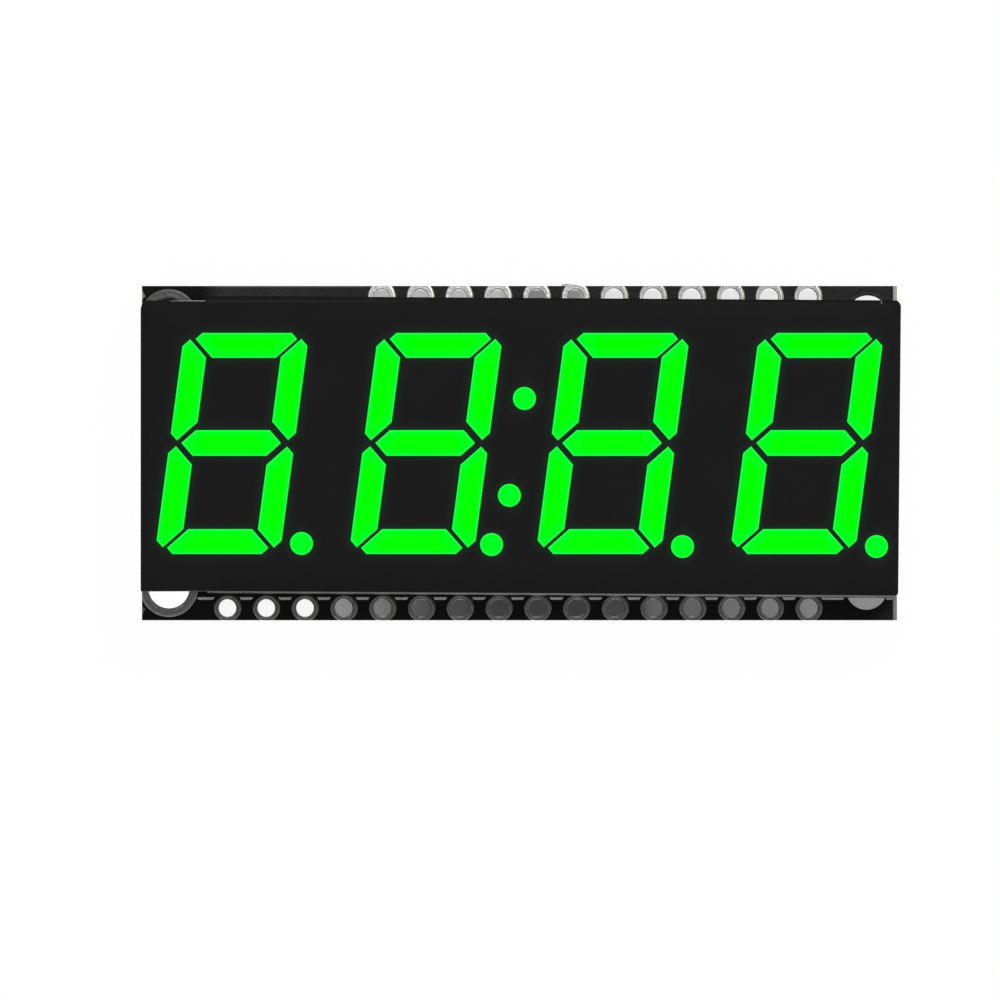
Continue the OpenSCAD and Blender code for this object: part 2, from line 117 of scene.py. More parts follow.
def spread(low, high, pad):
    """The places along X of a row of round pads, from the row's box."""
    first = low.x + pad
    count = round((high.x - low.x - 2 * pad) / PITCH) + 1
    return [first + i * PITCH for i in range(count)]


def drilled_at(x, y, drift):
    """Where a hole drawn at x, y really lies."""
    return (x + drift[0], y + drift[1])


long_y = long_high.y - PAD_R
short_y = short_low.y + PAD_R
long_xs = spread(long_low, long_high, PAD_R)
short_xs = spread(short_low, short_high, PAD_R)
pin_xs = spread(pin_pad_low, pin_pad_high, PIN_PAD_R)
pin_rows = (pin_pad_low.y + PIN_PAD_R, pin_pad_high.y - PIN_PAD_R)
long_row = [drilled_at(x, long_y, LONG_ROW_DRIFT) for x in long_xs]
short_row = [drilled_at(x, short_y, SHORT_ROW_DRIFT) for x in short_xs]
corner_x = corner_high.x - CORNER_PAD_R
corner_ys = (CORNER_PAD_R - corner_high.y, corner_high.y - CORNER_PAD_R)
plain_x = long_xs[0] + long_xs[-1] - corner_x       # the plain holes mirror the plated ones
plated_corners = [drilled_at(corner_x, y, drift) for y, drift in zip(corner_ys, PLATED_DRIFTS)]
plain_corners = [drilled_at(plain_x, y, drift) for y, drift in zip(corner_ys, PLAIN_DRIFTS)]

DIGITS = (1, 2, 3, 4)
BARS = [f"digit_{d}_segment_{letter}" for d in DIGITS for letter in "abcdefg"]
DOTS = [f"digit_{d}_decimal_point" for d in DIGITS] + ["colon_upper_dot", "colon_lower_dot"]


# ---------------------------------------------------------------- making surfaces

def circle(x, y, r, steps=48, start=0.0, turn=TAU):
    """Points of a circle, or of the arc from start through turn with both of its ends."""
    whole = abs(turn) > TAU - 1e-6
    count = steps if whole else steps + 1
    return [(x + r * math.cos(start + turn * i / steps), y + r * math.sin(start + turn * i / steps))
            for i in range(count)]


def rounded_rectangle(low, high, r, inset=0.0, steps=6):
    """Outline of a rectangle with round corners, moved inwards by inset."""
    x0, y0, x1, y1 = low.x + inset, low.y + inset, high.x - inset, high.y - inset
    r = max(r - inset, 0.02)
    quarter = TAU / 4
    corners = [(x1 - r, y1 - r, 0), (x0 + r, y1 - r, 1), (x0 + r, y0 + r, 2), (x1 - r, y0 + r, 3)]
    return [p for x, y, k in corners for p in circle(x, y, r, steps, k * quarter, quarter)]


def grown(points, by):
    """A convex anticlockwise outline with each side moved outwards."""
    result = []
    for i, here in enumerate(points):
        before, after = Vector(points[i - 1]), Vector(points[(i + 1) % len(points)])
        here = Vector(here)
        one = (here - before).normalized()
        two = (after - here).normalized()
        bend = Vector((one.y + two.y, -one.x - two.x))
        result.append(tuple(here + bend * by / (1 + one.dot(two))))
    return result


def inside(point, points):
    """True if the point lies inside the outline."""
    x, y = point
    found = False
    for (ax, ay), (bx, by) in zip(points, points[1:] + points[:1]):
        if (ay > y) != (by > y) and x < (bx - ax) * (y - ay) / (by - ay) + ax:
            found = not found
    return found


def centre(points):
    """The mean of some points."""
    return tuple(sum(values) / len(points) for values in zip(*points))


SHARP = math.radians(30.0)        # edges that bend more than this stay crisp


class Skin:
    """A closed surface in the making: rings of points, the walls between them, and flat plates."""

    def __init__(self):
        self.bm = bmesh.new()

    def ring(self, points, z):
        """A ring of vertices at one height."""
        return [self.bm.verts.new((x, y, z)) for x, y in points]

    def wall(self, one, two, material=0):
        """Joins two rings of as many points."""
        for i in range(len(one)):
            j = (i + 1) % len(one)
            self.bm.faces.new((one[i], one[j], two[j], two[i])).material_index = material

    def walls(self, *rings, material=0):
        """Joins each ring to the next."""
        for one, two in zip(rings, rings[1:]):
            self.wall(one, two, material)

    def lid(self, ring, material=0):
        """Closes one ring with a single flat face."""
        self.bm.faces.new(ring).material_index = material

    def stack(self, rings, material=0):
        """A closed body from (outline, z) pairs, each outline with as many points."""
        made = [self.ring(points, z) for points, z in rings]
        self.walls(*made, material=material)
        self.lid(made[0], material)
        self.lid(made[-1], material)

    def block(self, low, high, r, soft, material=0):
        """A block with round corners of radius r and softened edges above and below."""
        steps = 3
        rings = []
        for i in range(steps + 1):
            angle = TAU / 4 * i / steps
            rings.append((soft * (1 - math.sin(angle)), low.z + soft * (1 - math.cos(angle))))
        rings += [(inset, low.z + high.z - z) for inset, z in reversed(rings)]
        self.stack([(rounded_rectangle(low, high, r, inset, 4), z) for inset, z in rings], material)

    def bar(self, path, width, thickness, soft):
        """A bar along a path in the YZ plane, with chamfered edges and its width along X."""
        w, t = width / 2, thickness / 2
        section = [(w, t - soft), (w - soft, t), (soft - w, t), (-w, t - soft),
                   (-w, soft - t), (soft - w, -t), (w - soft, -t), (w, soft - t)]
        rings = []
        for i, (y, z) in enumerate(path):
            ahead = Vector(path[min(i + 1, len(path) - 1)]) - Vector(path[max(i - 1, 0)])
            side = Vector((-ahead.y, ahead.x)).normalized()
            rings.append([self.bm.verts.new((a, y + b * side.x, z + b * side.y)) for a, b in section])
        self.walls(*rings)
        self.lid(rings[0])
        self.lid(rings[-1])

    def drill(self, low, high, openings):
        """Closes a slab below and above, between its lowest and highest rings, with openings through it."""
        lows, highs = [], []
        for outline in openings:
            lows.append(self.ring(outline, low[0].co.z))
            highs.append(self.ring(outline, high[0].co.z))
            self.wall(lows[-1], highs[-1])
        self.plate(low, lows)
        self.plate(high, highs)

    def plate(self, outer, holes=(), loose=(), material=0):
        """Fills the flat space between an outer ring and its holes. Loose vertices lie within it."""
        verts = [v for ring in (outer, *holes) for v in ring] + list(loose)
        edges = []
        start = 0
        for ring in (outer, *holes):
            edges += [(start + i, start + (i + 1) % len(ring)) for i in range(len(ring))]
            start += len(ring)
        flat = [v.co.xy for v in verts]
        points, _, triangles, origins, _, _ = delaunay_2d_cdt(flat, edges, [], 1, 1e-5)
        gaps = []
        for ring in holes:
            outline = [(v.co.x, v.co.y) for v in ring]
            xs, ys = [p[0] for p in outline], [p[1] for p in outline]
            gaps.append((min(xs), max(xs), min(ys), max(ys), outline))
        for triangle in triangles:
            x = sum(points[k].x for k in triangle) / 3
            y = sum(points[k].y for k in triangle) / 3
            if any(x0 < x < x1 and y0 < y < y1 and inside((x, y), o) for x0, x1, y0, y1, o in gaps):
                continue
            self.bm.faces.new([verts[origins[k][0]] for k in triangle]).material_index = material

    def done(self, name, *materials):
        """The finished object, in metres."""
        bmesh.ops.recalc_face_normals(self.bm, faces=self.bm.faces)
        mesh = bpy.data.meshes.new(name)
        self.bm.to_mesh(mesh)
        self.bm.free()
        return placed(name, mesh, materials)


def placed(name, mesh, materials=()):
    """Scales a mesh from millimetres to metres and puts it in the scene under this name."""
    mesh.name = name
    mesh.transform(Matrix.Scale(MM, 4))
    for material in materials:
        mesh.materials.append(material)
    mesh.shade_smooth()
    mesh.set_sharp_from_angle(angle=SHARP)
    obj = bpy.data.objects.new(name, mesh)
    scene.collection.objects.link(obj)
    return obj


def fit(obj, slot, *nodes):
    """Rides the finished piece on the part and hides the CAD nodes it stands for. Its slot is not used."""
    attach(obj, "root")
    if nodes:
        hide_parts(*nodes)


# ---------------------------------------------------------------- node helpers

def feed(tree, socket, value):
    """Links a socket to another one, or sets its plain value."""
    if isinstance(value, bpy.types.NodeSocket):
        tree.links.new(value, socket)
    else:
        socket.default_value = value


def add(tree, kind, inputs=None, **settings):
    """Adds a node, sets its properties, and fills its inputs with values or with other sockets."""
    node = tree.nodes.new(kind)
    for key, value in settings.items():
        setattr(node, key, value)
    for key, value in (inputs or {}).items():
        feed(tree, node.inputs[key], value)
    return node


def new_tree(name, kind, inputs, outputs):
    """An empty node group with its named sockets, and its input and output nodes."""
    tree = bpy.data.node_groups.new(name, kind)
    for label, socket, default in inputs:
        item = tree.interface.new_socket(label, in_out="INPUT", socket_type=socket)
        if default is not None:
            item.default_value = default
    for label, socket in outputs:
        tree.interface.new_socket(label, in_out="OUTPUT", socket_type=socket)
    return tree, add(tree, "NodeGroupInput").outputs, add(tree, "NodeGroupOutput")


def math_node(tree, operation, *values):
    """The result of one Math node."""
    return add(tree, "ShaderNodeMath", dict(enumerate(values)), operation=operation).outputs[0]


def per_metre(tree, size):
    """The scale of a pattern whose features measure this many millimetres."""
    return math_node(tree, "DIVIDE", 1 / MM, size)


def mix_colours(tree, factor, one, two):
    """The colour one at factor 0 and two at factor 1."""
    return add(tree, "ShaderNodeMix", {0: factor, 6: one, 7: two}, data_type="RGBA").outputs[2]


def grey(value):
    """A neutral colour."""
    return (value, value, value, 1.0)


def toned(colour, times, plus=0.0):
    """The colour made darker or lighter."""
    return tuple(min(1.0, times * c + plus) for c in colour[:3]) + (1.0,)


FLOAT, VECTOR, COLOUR = "NodeSocketFloat", "NodeSocketVector", "NodeSocketColor"


# ---------------------------------------------------------------- shared surface effects

def make_grain():
    """Fine moulded or printed grain: a mask of slow blotches and a height of fine noise."""
    tree, given, out = new_tree(
        "grain", "ShaderNodeTree",
        [("Vector", VECTOR, None), ("Grain size", FLOAT, 0.1), ("Blotch size", FLOAT, 2.0)],
        [("Blotch", FLOAT), ("Height", FLOAT)])
    fine = add(tree, "ShaderNodeTexNoise", {
        "Vector": given["Vector"], "Detail": 3.0, "Scale": per_metre(tree, given["Grain size"])})
    blotch = add(tree, "ShaderNodeTexNoise", {
        "Vector": given["Vector"], "Detail": 4.0, "Roughness": 0.6,
        "Scale": per_metre(tree, given["Blotch size"])})
    tree.links.new(fine.outputs["Fac"], out.inputs["Height"])
    tree.links.new(blotch.outputs["Fac"], out.inputs["Blotch"])
    return tree


def make_specks():
    """Dust and small pits: a mask of scattered round specks of one size, with uneven strength."""
    tree, given, out = new_tree(
        "specks", "ShaderNodeTree",
        [("Vector", VECTOR, None), ("Spacing", FLOAT, 0.6), ("Speck size", FLOAT, 0.08)],
        [("Mask", FLOAT)])
    cells = add(tree, "ShaderNodeTexVoronoi", {
        "Vector": given["Vector"], "Scale": per_metre(tree, given["Spacing"])})
    reach = math_node(tree, "DIVIDE", given["Speck size"], given["Spacing"])
    spot = add(tree, "ShaderNodeMapRange", {
        "Value": cells.outputs["Distance"], "From Min": reach, "From Max": 0.0}, clamp=True)
    parts = add(tree, "ShaderNodeSeparateColor", {"Color": cells.outputs["Color"]})
    strength = math_node(tree, "POWER", parts.outputs["Red"], 3.0)
    tree.links.new(math_node(tree, "MULTIPLY", spot.outputs[0], strength), out.inputs["Mask"])
    return tree


def make_tarnish():
    """Tinned metal: colour and roughness that drift between bright and dull, with a soft ripple."""
    tree, given, out = new_tree(
        "tarnish", "ShaderNodeTree",
        [("Vector", VECTOR, None), ("Patch size", FLOAT, 0.5), ("Bright", COLOUR, (0.8, 0.8, 0.8, 1)),
         ("Dull", COLOUR, (0.4, 0.4, 0.4, 1)), ("Smooth", FLOAT, 0.2), ("Rough", FLOAT, 0.5)],
        [("Color", COLOUR), ("Roughness", FLOAT), ("Height", FLOAT)])
    patches = add(tree, "ShaderNodeTexNoise", {
        "Vector": given["Vector"], "Detail": 5.0, "Roughness": 0.55,
        "Scale": per_metre(tree, given["Patch size"])})
    drift = add(tree, "ShaderNodeMapRange", {
        "Value": patches.outputs["Fac"], "From Min": 0.32, "From Max": 0.68}, clamp=True).outputs[0]
    colour = mix_colours(tree, drift, given["Dull"], given["Bright"])
    rough = add(tree, "ShaderNodeMapRange", {
        "Value": drift, "To Min": given["Rough"], "To Max": given["Smooth"]}).outputs[0]
    tree.links.new(colour, out.inputs["Color"])
    tree.links.new(rough, out.inputs["Roughness"])
    tree.links.new(patches.outputs["Fac"], out.inputs["Height"])
    return tree


GRAIN = make_grain()
SPECKS = make_specks()
TARNISH = make_tarnish()


# ---------------------------------------------------------------- materials

class Finish:
    """A material in the making: one Principled shader, with Object coordinates at hand."""

    def __init__(self, name, roughness=0.5, specular=0.5, metallic=0.0):
        self.material = bpy.data.materials.new(name)
        self.material.use_nodes = True
        self.tree = self.material.node_tree
        self.tree.nodes.clear()
        self.place = add(self.tree, "ShaderNodeTexCoord").outputs["Object"]
        self.shader = add(self.tree, "ShaderNodeBsdfPrincipled", {
            "Roughness": roughness, "Specular IOR Level": specular, "Metallic": metallic})
        self.out = add(self.tree, "ShaderNodeOutputMaterial", {"Surface": self.shader.outputs[0]})

    def group(self, tree, **inputs):
        """Places a shared effect, its sockets named with _ for a space, and returns what it puts out."""
        node = add(self.tree, "ShaderNodeGroup", {"Vector": self.place}, node_tree=tree)
        for key, value in inputs.items():
            feed(self.tree, node.inputs[key.replace("_", " ").capitalize()], value)
        return node.outputs

    def ramp(self, value, low, high, to_low=0.0, to_high=1.0):
        """Carries value from the range low..high to the range to_low..to_high."""
        return add(self.tree, "ShaderNodeMapRange", {
            "Value": value, "From Min": low, "From Max": high,
            "To Min": to_low, "To Max": to_high}, clamp=True).outputs[0]

    def drift(self, noise, one=0.0, two=1.0):
        """A noise's middle range carried to the range one..two."""
        return self.ramp(noise, 0.3, 0.7, one, two)

    def stripe(self, value, start, full, fade, end):
        """1 between full and fade, falling to 0 at start and at end."""
        return self.times(self.ramp(value, start, full), self.ramp(value, end, fade))

    def math(self, operation, *values):
        """The result of one Math node."""
        return math_node(self.tree, operation, *values)

    def times(self, first, *others):
        """The product of two or more values."""
        for other in others:
            first = self.math("MULTIPLY", first, other)
        return first

    def mix(self, factor, one, two):
        """The colour one at factor 0 and two at factor 1."""
        return mix_colours(self.tree, factor, one, two)

    def mark(self, name):
        """The number that the mesh's points carry under this name."""
        return add(self.tree, "ShaderNodeAttribute", attribute_name=name).outputs["Fac"]

    def scaled(self, vector, by):
        """A vector or colour times a number."""
        return add(self.tree, "ShaderNodeVectorMath", {0: vector, "Scale": by}, operation="SCALE").outputs[0]

    def axes(self):
        """The X, Y and Z of the place, in millimetres."""
        return add(self.tree, "ShaderNodeSeparateXYZ", {0: self.scaled(self.place, 1 / MM)}).outputs

    def noise(self, size, detail=3.0):
        """Soft noise with features of about this size, in millimetres."""
        return add(self.tree, "ShaderNodeTexNoise", {
            "Vector": self.place, "Scale": 1 / (size * MM), "Detail": detail}).outputs["Fac"]

    def set(self, **sockets):
        """Sets the shader's sockets by name, with _ for a space."""
        for key, value in sockets.items():
            feed(self.tree, self.shader.inputs[key.replace("_", " ").title()], value)

    def bumped(self, height, depth):
        """The finished material, raised by depth in millimetres where height is 1."""
        normal = add(self.tree, "ShaderNodeBump", {"Height": height, "Distance": depth * MM}).outputs[0]
        self.set(normal=normal)
        return self.material


def printed_face():
    """Flat black ink of the display's face, with a faint painted green glow round each window, which the
    face gives off itself, and a painted highlight along its upper rim.
    """
    finish = Finish("printed_face", specular=0.06)
    grain = finish.group(GRAIN, grain_size=0.07, blotch_size=3.0)
    ink = finish.mix(finish.drift(grain["Blotch"]), grey(0.0071), grey(0.0079))
    axes = finish.axes()
    top = NARROW_END[1]
    # A painted highlight: paler ink along the upper rim, on the wider part of the body and away from the
    # middle.
    line = finish.stripe(axes["Y"], top - 0.13, top - 0.09, top - 0.04, top)
    ends = finish.ramp(finish.math("ABSOLUTE", axes["X"]), 4.0, 14.0)
    wide = finish.ramp(axes["X"], NARROW_END_X - 0.185, NARROW_END_X + 0.015)
    # A painted glow: the face itself gives off green light round each window.
    glow = finish.mix(finish.mark("glow"), grey(0.0), (0.0, 0.0130, 0.0040, 1))
    finish.set(base_color=finish.mix(finish.times(line, ends, wide), ink, grey(0.018)),
               roughness=finish.drift(grain["Height"], 0.58, 0.7),
               emission_color=glow, emission_strength=1.0)
    return finish.bumped(grain["Height"], 0.004)


def window_edge():
    """The face's cut edge round a lit window, with a painted green glow that it gives off itself in the
    ink's thickness.
    """
    finish = Finish("window_edge", roughness=0.7, specular=0.0)
    cloud = finish.drift(finish.noise(0.9))
    finish.set(base_color=finish.mix(cloud, grey(0.0008), grey(0.0014)),
               emission_color=finish.mix(cloud, (0.0, 0.036, 0.005, 1), (0.0, 0.046, 0.007, 1)),
               emission_strength=1.0)
    return finish.material


def shell_plastic(name, specular, smooth, rough, dust):
    """Black moulded plastic with grain and specks of dust, rougher towards its -X end."""
    finish = Finish(name, specular=specular)
    grain = finish.group(GRAIN, grain_size=0.12, blotch_size=1.4)
    specks = finish.group(SPECKS, spacing=0.8, speck_size=0.09)
    tone = finish.mix(finish.drift(grain["Blotch"]), grey(0.009), grey(0.014))
    worn = finish.ramp(finish.axes()["X"], *WORN_WALLS, 0.14, 0.0)
    finish.set(base_color=finish.mix(specks["Mask"], tone, grey(dust)),
               roughness=finish.math("ADD", worn, finish.drift(grain["Blotch"], smooth, rough)))
    return finish.bumped(grain["Height"], 0.008)


def lit_epoxy():
    """Green lit resin: pure green in the middle of a bar, bluer towards its rim and paler at its edge."""
    finish = Finish("lit_epoxy", roughness=0.4, specular=0.0)
    rim = finish.mark("rim")
    soft = finish.math("POWER", finish.math("MINIMUM", rim, 1.0), 1.4)
    share = finish.times(soft, finish.drift(finish.noise(0.9), 0.9, 1.1))
    lit = finish.mix(share, (0.0016, 1.0, 0.0, 1), (0.0, 1.0, 0.018, 1))
    finish.set(base_color=finish.mix(share, (0.0005, 0.25, 0.001, 1), (0.0002, 0.25, 0.002, 1)),
               emission_color=finish.mix(finish.ramp(rim, 1.0, 2.0), lit, (0.028, 0.66, 0.085, 1)),
               emission_strength=1.0)
    return finish.material


def mask_tone(finish, tone, end):
    """The solder mask's tone: paler in a ring round the upper plain hole, with a painted sheen on a stretch
    of the upper strip, and paler along a worn edge.
    """
    axes = finish.axes()
    away = [finish.math("SUBTRACT", axes[way], place) for way, place in zip("XY", plain_corners[1])]
    reach = finish.math("SQRT", finish.math("ADD", *(finish.times(gap, gap) for gap in away)))
    tone = finish.mix(finish.stripe(reach, 1.42, 1.46, 1.54, 1.62), tone, grey(0.016))
    # A painted sheen: paler along the upper strip, growing towards the narrower end.
    painted_sheen = finish.times(finish.ramp(axes["X"], -8.0, -19.5), finish.ramp(axes["Y"], 7.0, 9.0), end)
    tone = finish.mix(painted_sheen, tone, grey(0.015))
    edge = finish.ramp(axes["Y"], edge_high - 0.13, edge_high - 0.03)
    worn = finish.times(edge, end, finish.ramp(axes["X"], -9.0, -10.5))
    return finish.mix(worn, tone, grey(0.075))


def solder_mask():
    """Glossy black solder mask with a little orange peel and dust, smoother at the -X end."""
    finish = Finish("solder_mask", specular=0.24)
    grain = finish.group(GRAIN, grain_size=0.25, blotch_size=1.6)
    specks = finish.group(SPECKS, spacing=0.45, speck_size=0.06)
    tone = finish.mix(finish.ramp(grain["Blotch"], 0.35, 0.65), grey(0.002), grey(0.0036))
    end = finish.ramp(finish.axes()["X"], NARROW_END_X - 0.5, NARROW_END_X + 1.0)
    rough = finish.drift(grain["Blotch"], 0.32, 0.40)
    finish.set(base_color=finish.mix(specks["Mask"], mask_tone(finish, tone, end), grey(0.07)),
               roughness=finish.ramp(end, 0.0, 1.0, 0.17, rough))
    return finish.bumped(grain["Height"], 0.01)


def laminate():
    """Bare glass fibre laminate, with the faint layers of its weave, paler where it was snapped."""
    finish = Finish("laminate", specular=0.35)
    axes = finish.axes()
    layers = add(finish.tree, "ShaderNodeTexWave", {
        "Vector": finish.place, "Scale": 1 / (1.1 * MM), "Distortion": 1.5, "Detail": 2.0,
        "Detail Scale": 2.0}, bands_direction="Z").outputs["Fac"]
    grain = finish.group(GRAIN, grain_size=0.06, blotch_size=0.5)
    share = finish.times(finish.drift(grain["Blotch"]), layers)
    raw = finish.mix(share, (0.19, 0.17, 0.10, 1), (0.30, 0.28, 0.19, 1))
    pale = finish.mix(share, (0.36, 0.35, 0.28, 1), (0.52, 0.50, 0.42, 1))
    dusty = finish.mix(share, (0.19, 0.19, 0.18, 1), (0.27, 0.27, 0.255, 1))
    snapped = finish.mix(finish.ramp(axes["Y"], -6.0, 6.0), dusty, pale)
    snap = finish.ramp(axes["X"], board_low.x + 0.3, board_high.x - SCORE_W)
    finish.set(base_color=finish.mix(snap, raw, snapped),
               roughness=finish.drift(grain["Height"], 0.65, 0.85))
    return finish.bumped(grain["Height"], 0.03)


def pad_metal(name, bright, dull, groove, side_shade, bead, smooth=0.3, rough=0.5, ripple=0.02, far=1.0):
    """A tinned ring: outer bead, a painted shade in its groove, a painted shade on one side inside and a
    painted glint across from it.

    The bead's colour is bead times that of the rest, and far times as much again on the +Y side, a painted
    shade there. All of these are painted light and shade, tones in the metal's colour at set places round
    the ring, so they stay under any lamp.
    """
    finish = Finish(name, metallic=1.0)
    metal = finish.group(TARNISH, patch_size=0.3, bright=bright, dull=dull, smooth=smooth, rough=rough)
    band, east, north = finish.mark("band"), finish.mark("east"), finish.mark("north")
    slow = finish.ramp(finish.noise(2.2, 2.0), 0.35, 0.65, 0.75, 1.0)
    # A painted shade in the groove.
    groove_shade = finish.math("SUBTRACT", 1.0, finish.math("ABSOLUTE", finish.ramp(band, 0.12, 0.66, -1.0, 1.0)))
    shaded = finish.mix(finish.times(groove_shade, slow, groove), metal["Color"], toned(dull, 0.3))
    # The outer bead's painted light, with a painted shade on its +Y side.
    painted_bead = finish.scaled(shaded, finish.ramp(north, 0.2, 0.85, bead, bead * far))
    shaded = finish.mix(finish.ramp(band, 0.55, 0.75), shaded, painted_bead)
    # A painted shade on one side inside the hole.
    facing = finish.math("ADD", finish.times(east, 0.94), finish.times(north, 0.34))
    side = finish.times(finish.ramp(band, 0.3, 0.1), finish.ramp(facing, 0.2, 0.8), side_shade)
    shaded = finish.mix(side, shaded, grey(0.02))
    # A painted glint across from that shade.
    across = finish.math("SUBTRACT", finish.times(east, 0.6), finish.times(north, 0.8))
    near = finish.stripe(band, 0.05, 0.1, 0.2, 0.3)
    glint = finish.times(near, finish.ramp(finish.times(across, slow), 0.9, 0.97))
    finish.set(base_color=finish.mix(glint, shaded, (0.95, 0.95, 0.93, 1)), roughness=metal["Roughness"])
    return finish.bumped(metal["Height"], ripple)


def tinned(name, bright, dull, smooth, rough, patch=0.5):
    """Tinned or soldered metal between a bright and a dull colour."""
    finish = Finish(name, metallic=1.0)
    metal = finish.group(TARNISH, patch_size=patch, bright=bright, dull=dull, smooth=smooth, rough=rough)
    finish.set(base_color=metal["Color"], roughness=metal["Roughness"])
    return finish.bumped(metal["Height"], 0.02)


def white_ink():
    """Screen printed ink, thin and a little uneven."""
    finish = Finish("white_ink", specular=0.2)
    grain = finish.group(GRAIN, grain_size=0.08, blotch_size=0.3)
    finish.set(base_color=finish.mix(finish.ramp(grain["Blotch"], 0.35, 0.65), grey(0.60), grey(0.78)),
               roughness=finish.drift(grain["Height"], 0.6, 0.8))
    return finish.bumped(grain["Height"], 0.01)


def plain_finish(name, dark, light, smooth, rough, specular=0.4):
    """A plain moulded or fired material with grain and dust, between a dark and a light tone."""
    finish = Finish(name, specular=specular)
    grain = finish.group(GRAIN, grain_size=0.08, blotch_size=0.96)
    specks = finish.group(SPECKS, spacing=0.48, speck_size=0.04)
    tone = finish.mix(finish.drift(grain["Blotch"]), dark, light)
    finish.set(base_color=finish.mix(specks["Mask"], tone, toned(light, 1.6, 0.03)),
               roughness=finish.drift(grain["Height"], smooth, rough))
    return finish.bumped(grain["Height"], 0.01)


FACE = printed_face()
WINDOW_EDGE = window_edge()
SHELL = shell_plastic("shell_plastic", specular=0.40, smooth=0.30, rough=0.50, dust=0.05)
SATIN_SHELL = shell_plastic("satin_shell_plastic", specular=0.15, smooth=0.42, rough=0.58, dust=0.06)
MATT_SHELL = shell_plastic("matt_shell_plastic", specular=0.0, smooth=0.5, rough=0.65, dust=0.10)
LIGHT = lit_epoxy()
MASK_INK = solder_mask()
LAMINATE = laminate()
# The tins' outer beads carry painted light and shade: lighter on the lit upper row, darkened again on its +Y
# side, and darker on the shaded lower row.
TIN = pad_metal("tin", (0.54, 0.54, 0.53, 1), (0.35, 0.35, 0.34, 1), groove=0.7, side_shade=0.8, bead=0.62)
BRIGHT_TIN = pad_metal("bright_tin", (0.56, 0.56, 0.55, 1), (0.42, 0.42, 0.41, 1), groove=0.45,
                       side_shade=0.8, bead=1.3, smooth=0.34, ripple=0.006, far=0.42)
THICK_TIN = pad_metal("thick_tin", (0.62, 0.62, 0.61, 1), (0.50, 0.50, 0.49, 1), groove=0.35,
                      side_shade=0.15, bead=1.35, smooth=0.34, ripple=0.018, far=0.6)
OLD_TIN = pad_metal("dull_tin", (0.48, 0.47, 0.48, 1), (0.30, 0.29, 0.28, 1), groove=0.3,
                    side_shade=0.3, bead=1.0, smooth=0.4, rough=0.6)
# A darker tin for the upper corner ring: painted shade, which keeps it as dark as the shaded lower ring
# though the lamp lights it.
SHADED_CORNER_TIN = pad_metal("blackened_tin", (0.135, 0.13, 0.132, 1), (0.080, 0.078, 0.077, 1), groove=0.1,
                          side_shade=0.0, bead=0.7, smooth=0.35, rough=0.55, ripple=0.012)
CAP_TIN = tinned("cap_tin", (0.80, 0.80, 0.78, 1), (0.58, 0.58, 0.56, 1), smooth=0.3, rough=0.5)
SOLDER = tinned("solder_metal", (0.78, 0.78, 0.77, 1), (0.50, 0.50, 0.50, 1),
                smooth=0.16, rough=0.34, patch=0.9)
PIN_METAL = tinned("pin_metal", (0.72, 0.70, 0.66, 1), (0.50, 0.48, 0.44, 1),
                   smooth=0.22, rough=0.4, patch=0.7)
INK = white_ink()
# The finish of the painted highlight slivers on the face's edge.
GLINT_FINISH = plain_finish("pale_flash", grey(0.3), grey(0.5), smooth=0.4, rough=0.6)
CHIP = plain_finish("chip_moulding", grey(0.012), grey(0.022), smooth=0.55, rough=0.75, specular=0.35)
CHIP_MARK = plain_finish("chip_dimple", grey(0.02), grey(0.03), smooth=0.2, rough=0.35, specular=0.5)
CERAMIC = plain_finish("ceramic", (0.30, 0.21, 0.12, 1), (0.38, 0.27, 0.16, 1), smooth=0.45, rough=0.65)
ALUMINA = plain_finish("alumina", grey(0.62), grey(0.75), smooth=0.5, rough=0.7)
RESISTOR_COAT = plain_finish("resistor_coat", grey(0.012), grey(0.02), smooth=0.25, rough=0.4, specular=0.5)
LED_BOARD = plain_finish("led_board", (0.62, 0.60, 0.50, 1), (0.72, 0.70, 0.60, 1), smooth=0.5, rough=0.7)
LED_CHIP = plain_finish("led_chip", (0.55, 0.42, 0.10, 1), (0.70, 0.56, 0.18, 1), smooth=0.3, rough=0.5)
POTTING = plain_finish("potting", (0.52, 0.56, 0.46, 1), (0.60, 0.63, 0.52, 1),
                       smooth=0.2, rough=0.35, specular=0.5)


# ---------------------------------------------------------------- the display's shell

FACE_BEVEL = 0.12
FACE_EDGE = [(FACE_BEVEL, 0.0), (0.05, 0.03), (0.015, 0.07), (0.0, FACE_BEVEL)]      # inset and depth
SHELL_CORNER_R = 0.26
SHELL_WALL = 0.6
END_CORNER_R = 0.08              # lower corner of the narrower end
END_CUT = [(0.2, 0.0), (0.13, 0.06), (0.0, 0.55)]      # its rubbed upper corner, in from the end and down
# Pale slivers on the face's upper edge that stand in for glints there: painted highlights.
GLINT_SLIVERS = [(-22.9, -20.6, 9.94, 9.968), (23.53, 23.56, 9.76, 9.97)]      # slivers, along X and along Y
SIDE_DRAFT = 0.17                # the face lies in from the foot by this, on each long side
LOWER_DRAFT = 0.85               # but by only this share of it on the lower side
RECESS_R = 0.2                   # corners of the recess at the back
BODY_TURN = math.radians(-0.38)  # of the display's body on the board
END_LEAN = 0.055                 # the lower corner of the +X end lies in by this
WINDOW_BEVEL = 0.05              # round of a window's edge
LEVEL_SWELL = (0.022, 0.043)     # a level bar's window is this much wider on its long sides, and at its ends
UPRIGHT_SWELL = (0.006, 0.034)   # and the same of an upright bar
DOT_SWELL = 0.0155
END_L = 2.0                      # a bar's end has only sides shorter than this
WINDOW_SHIFT = -0.006            # of every window, along X
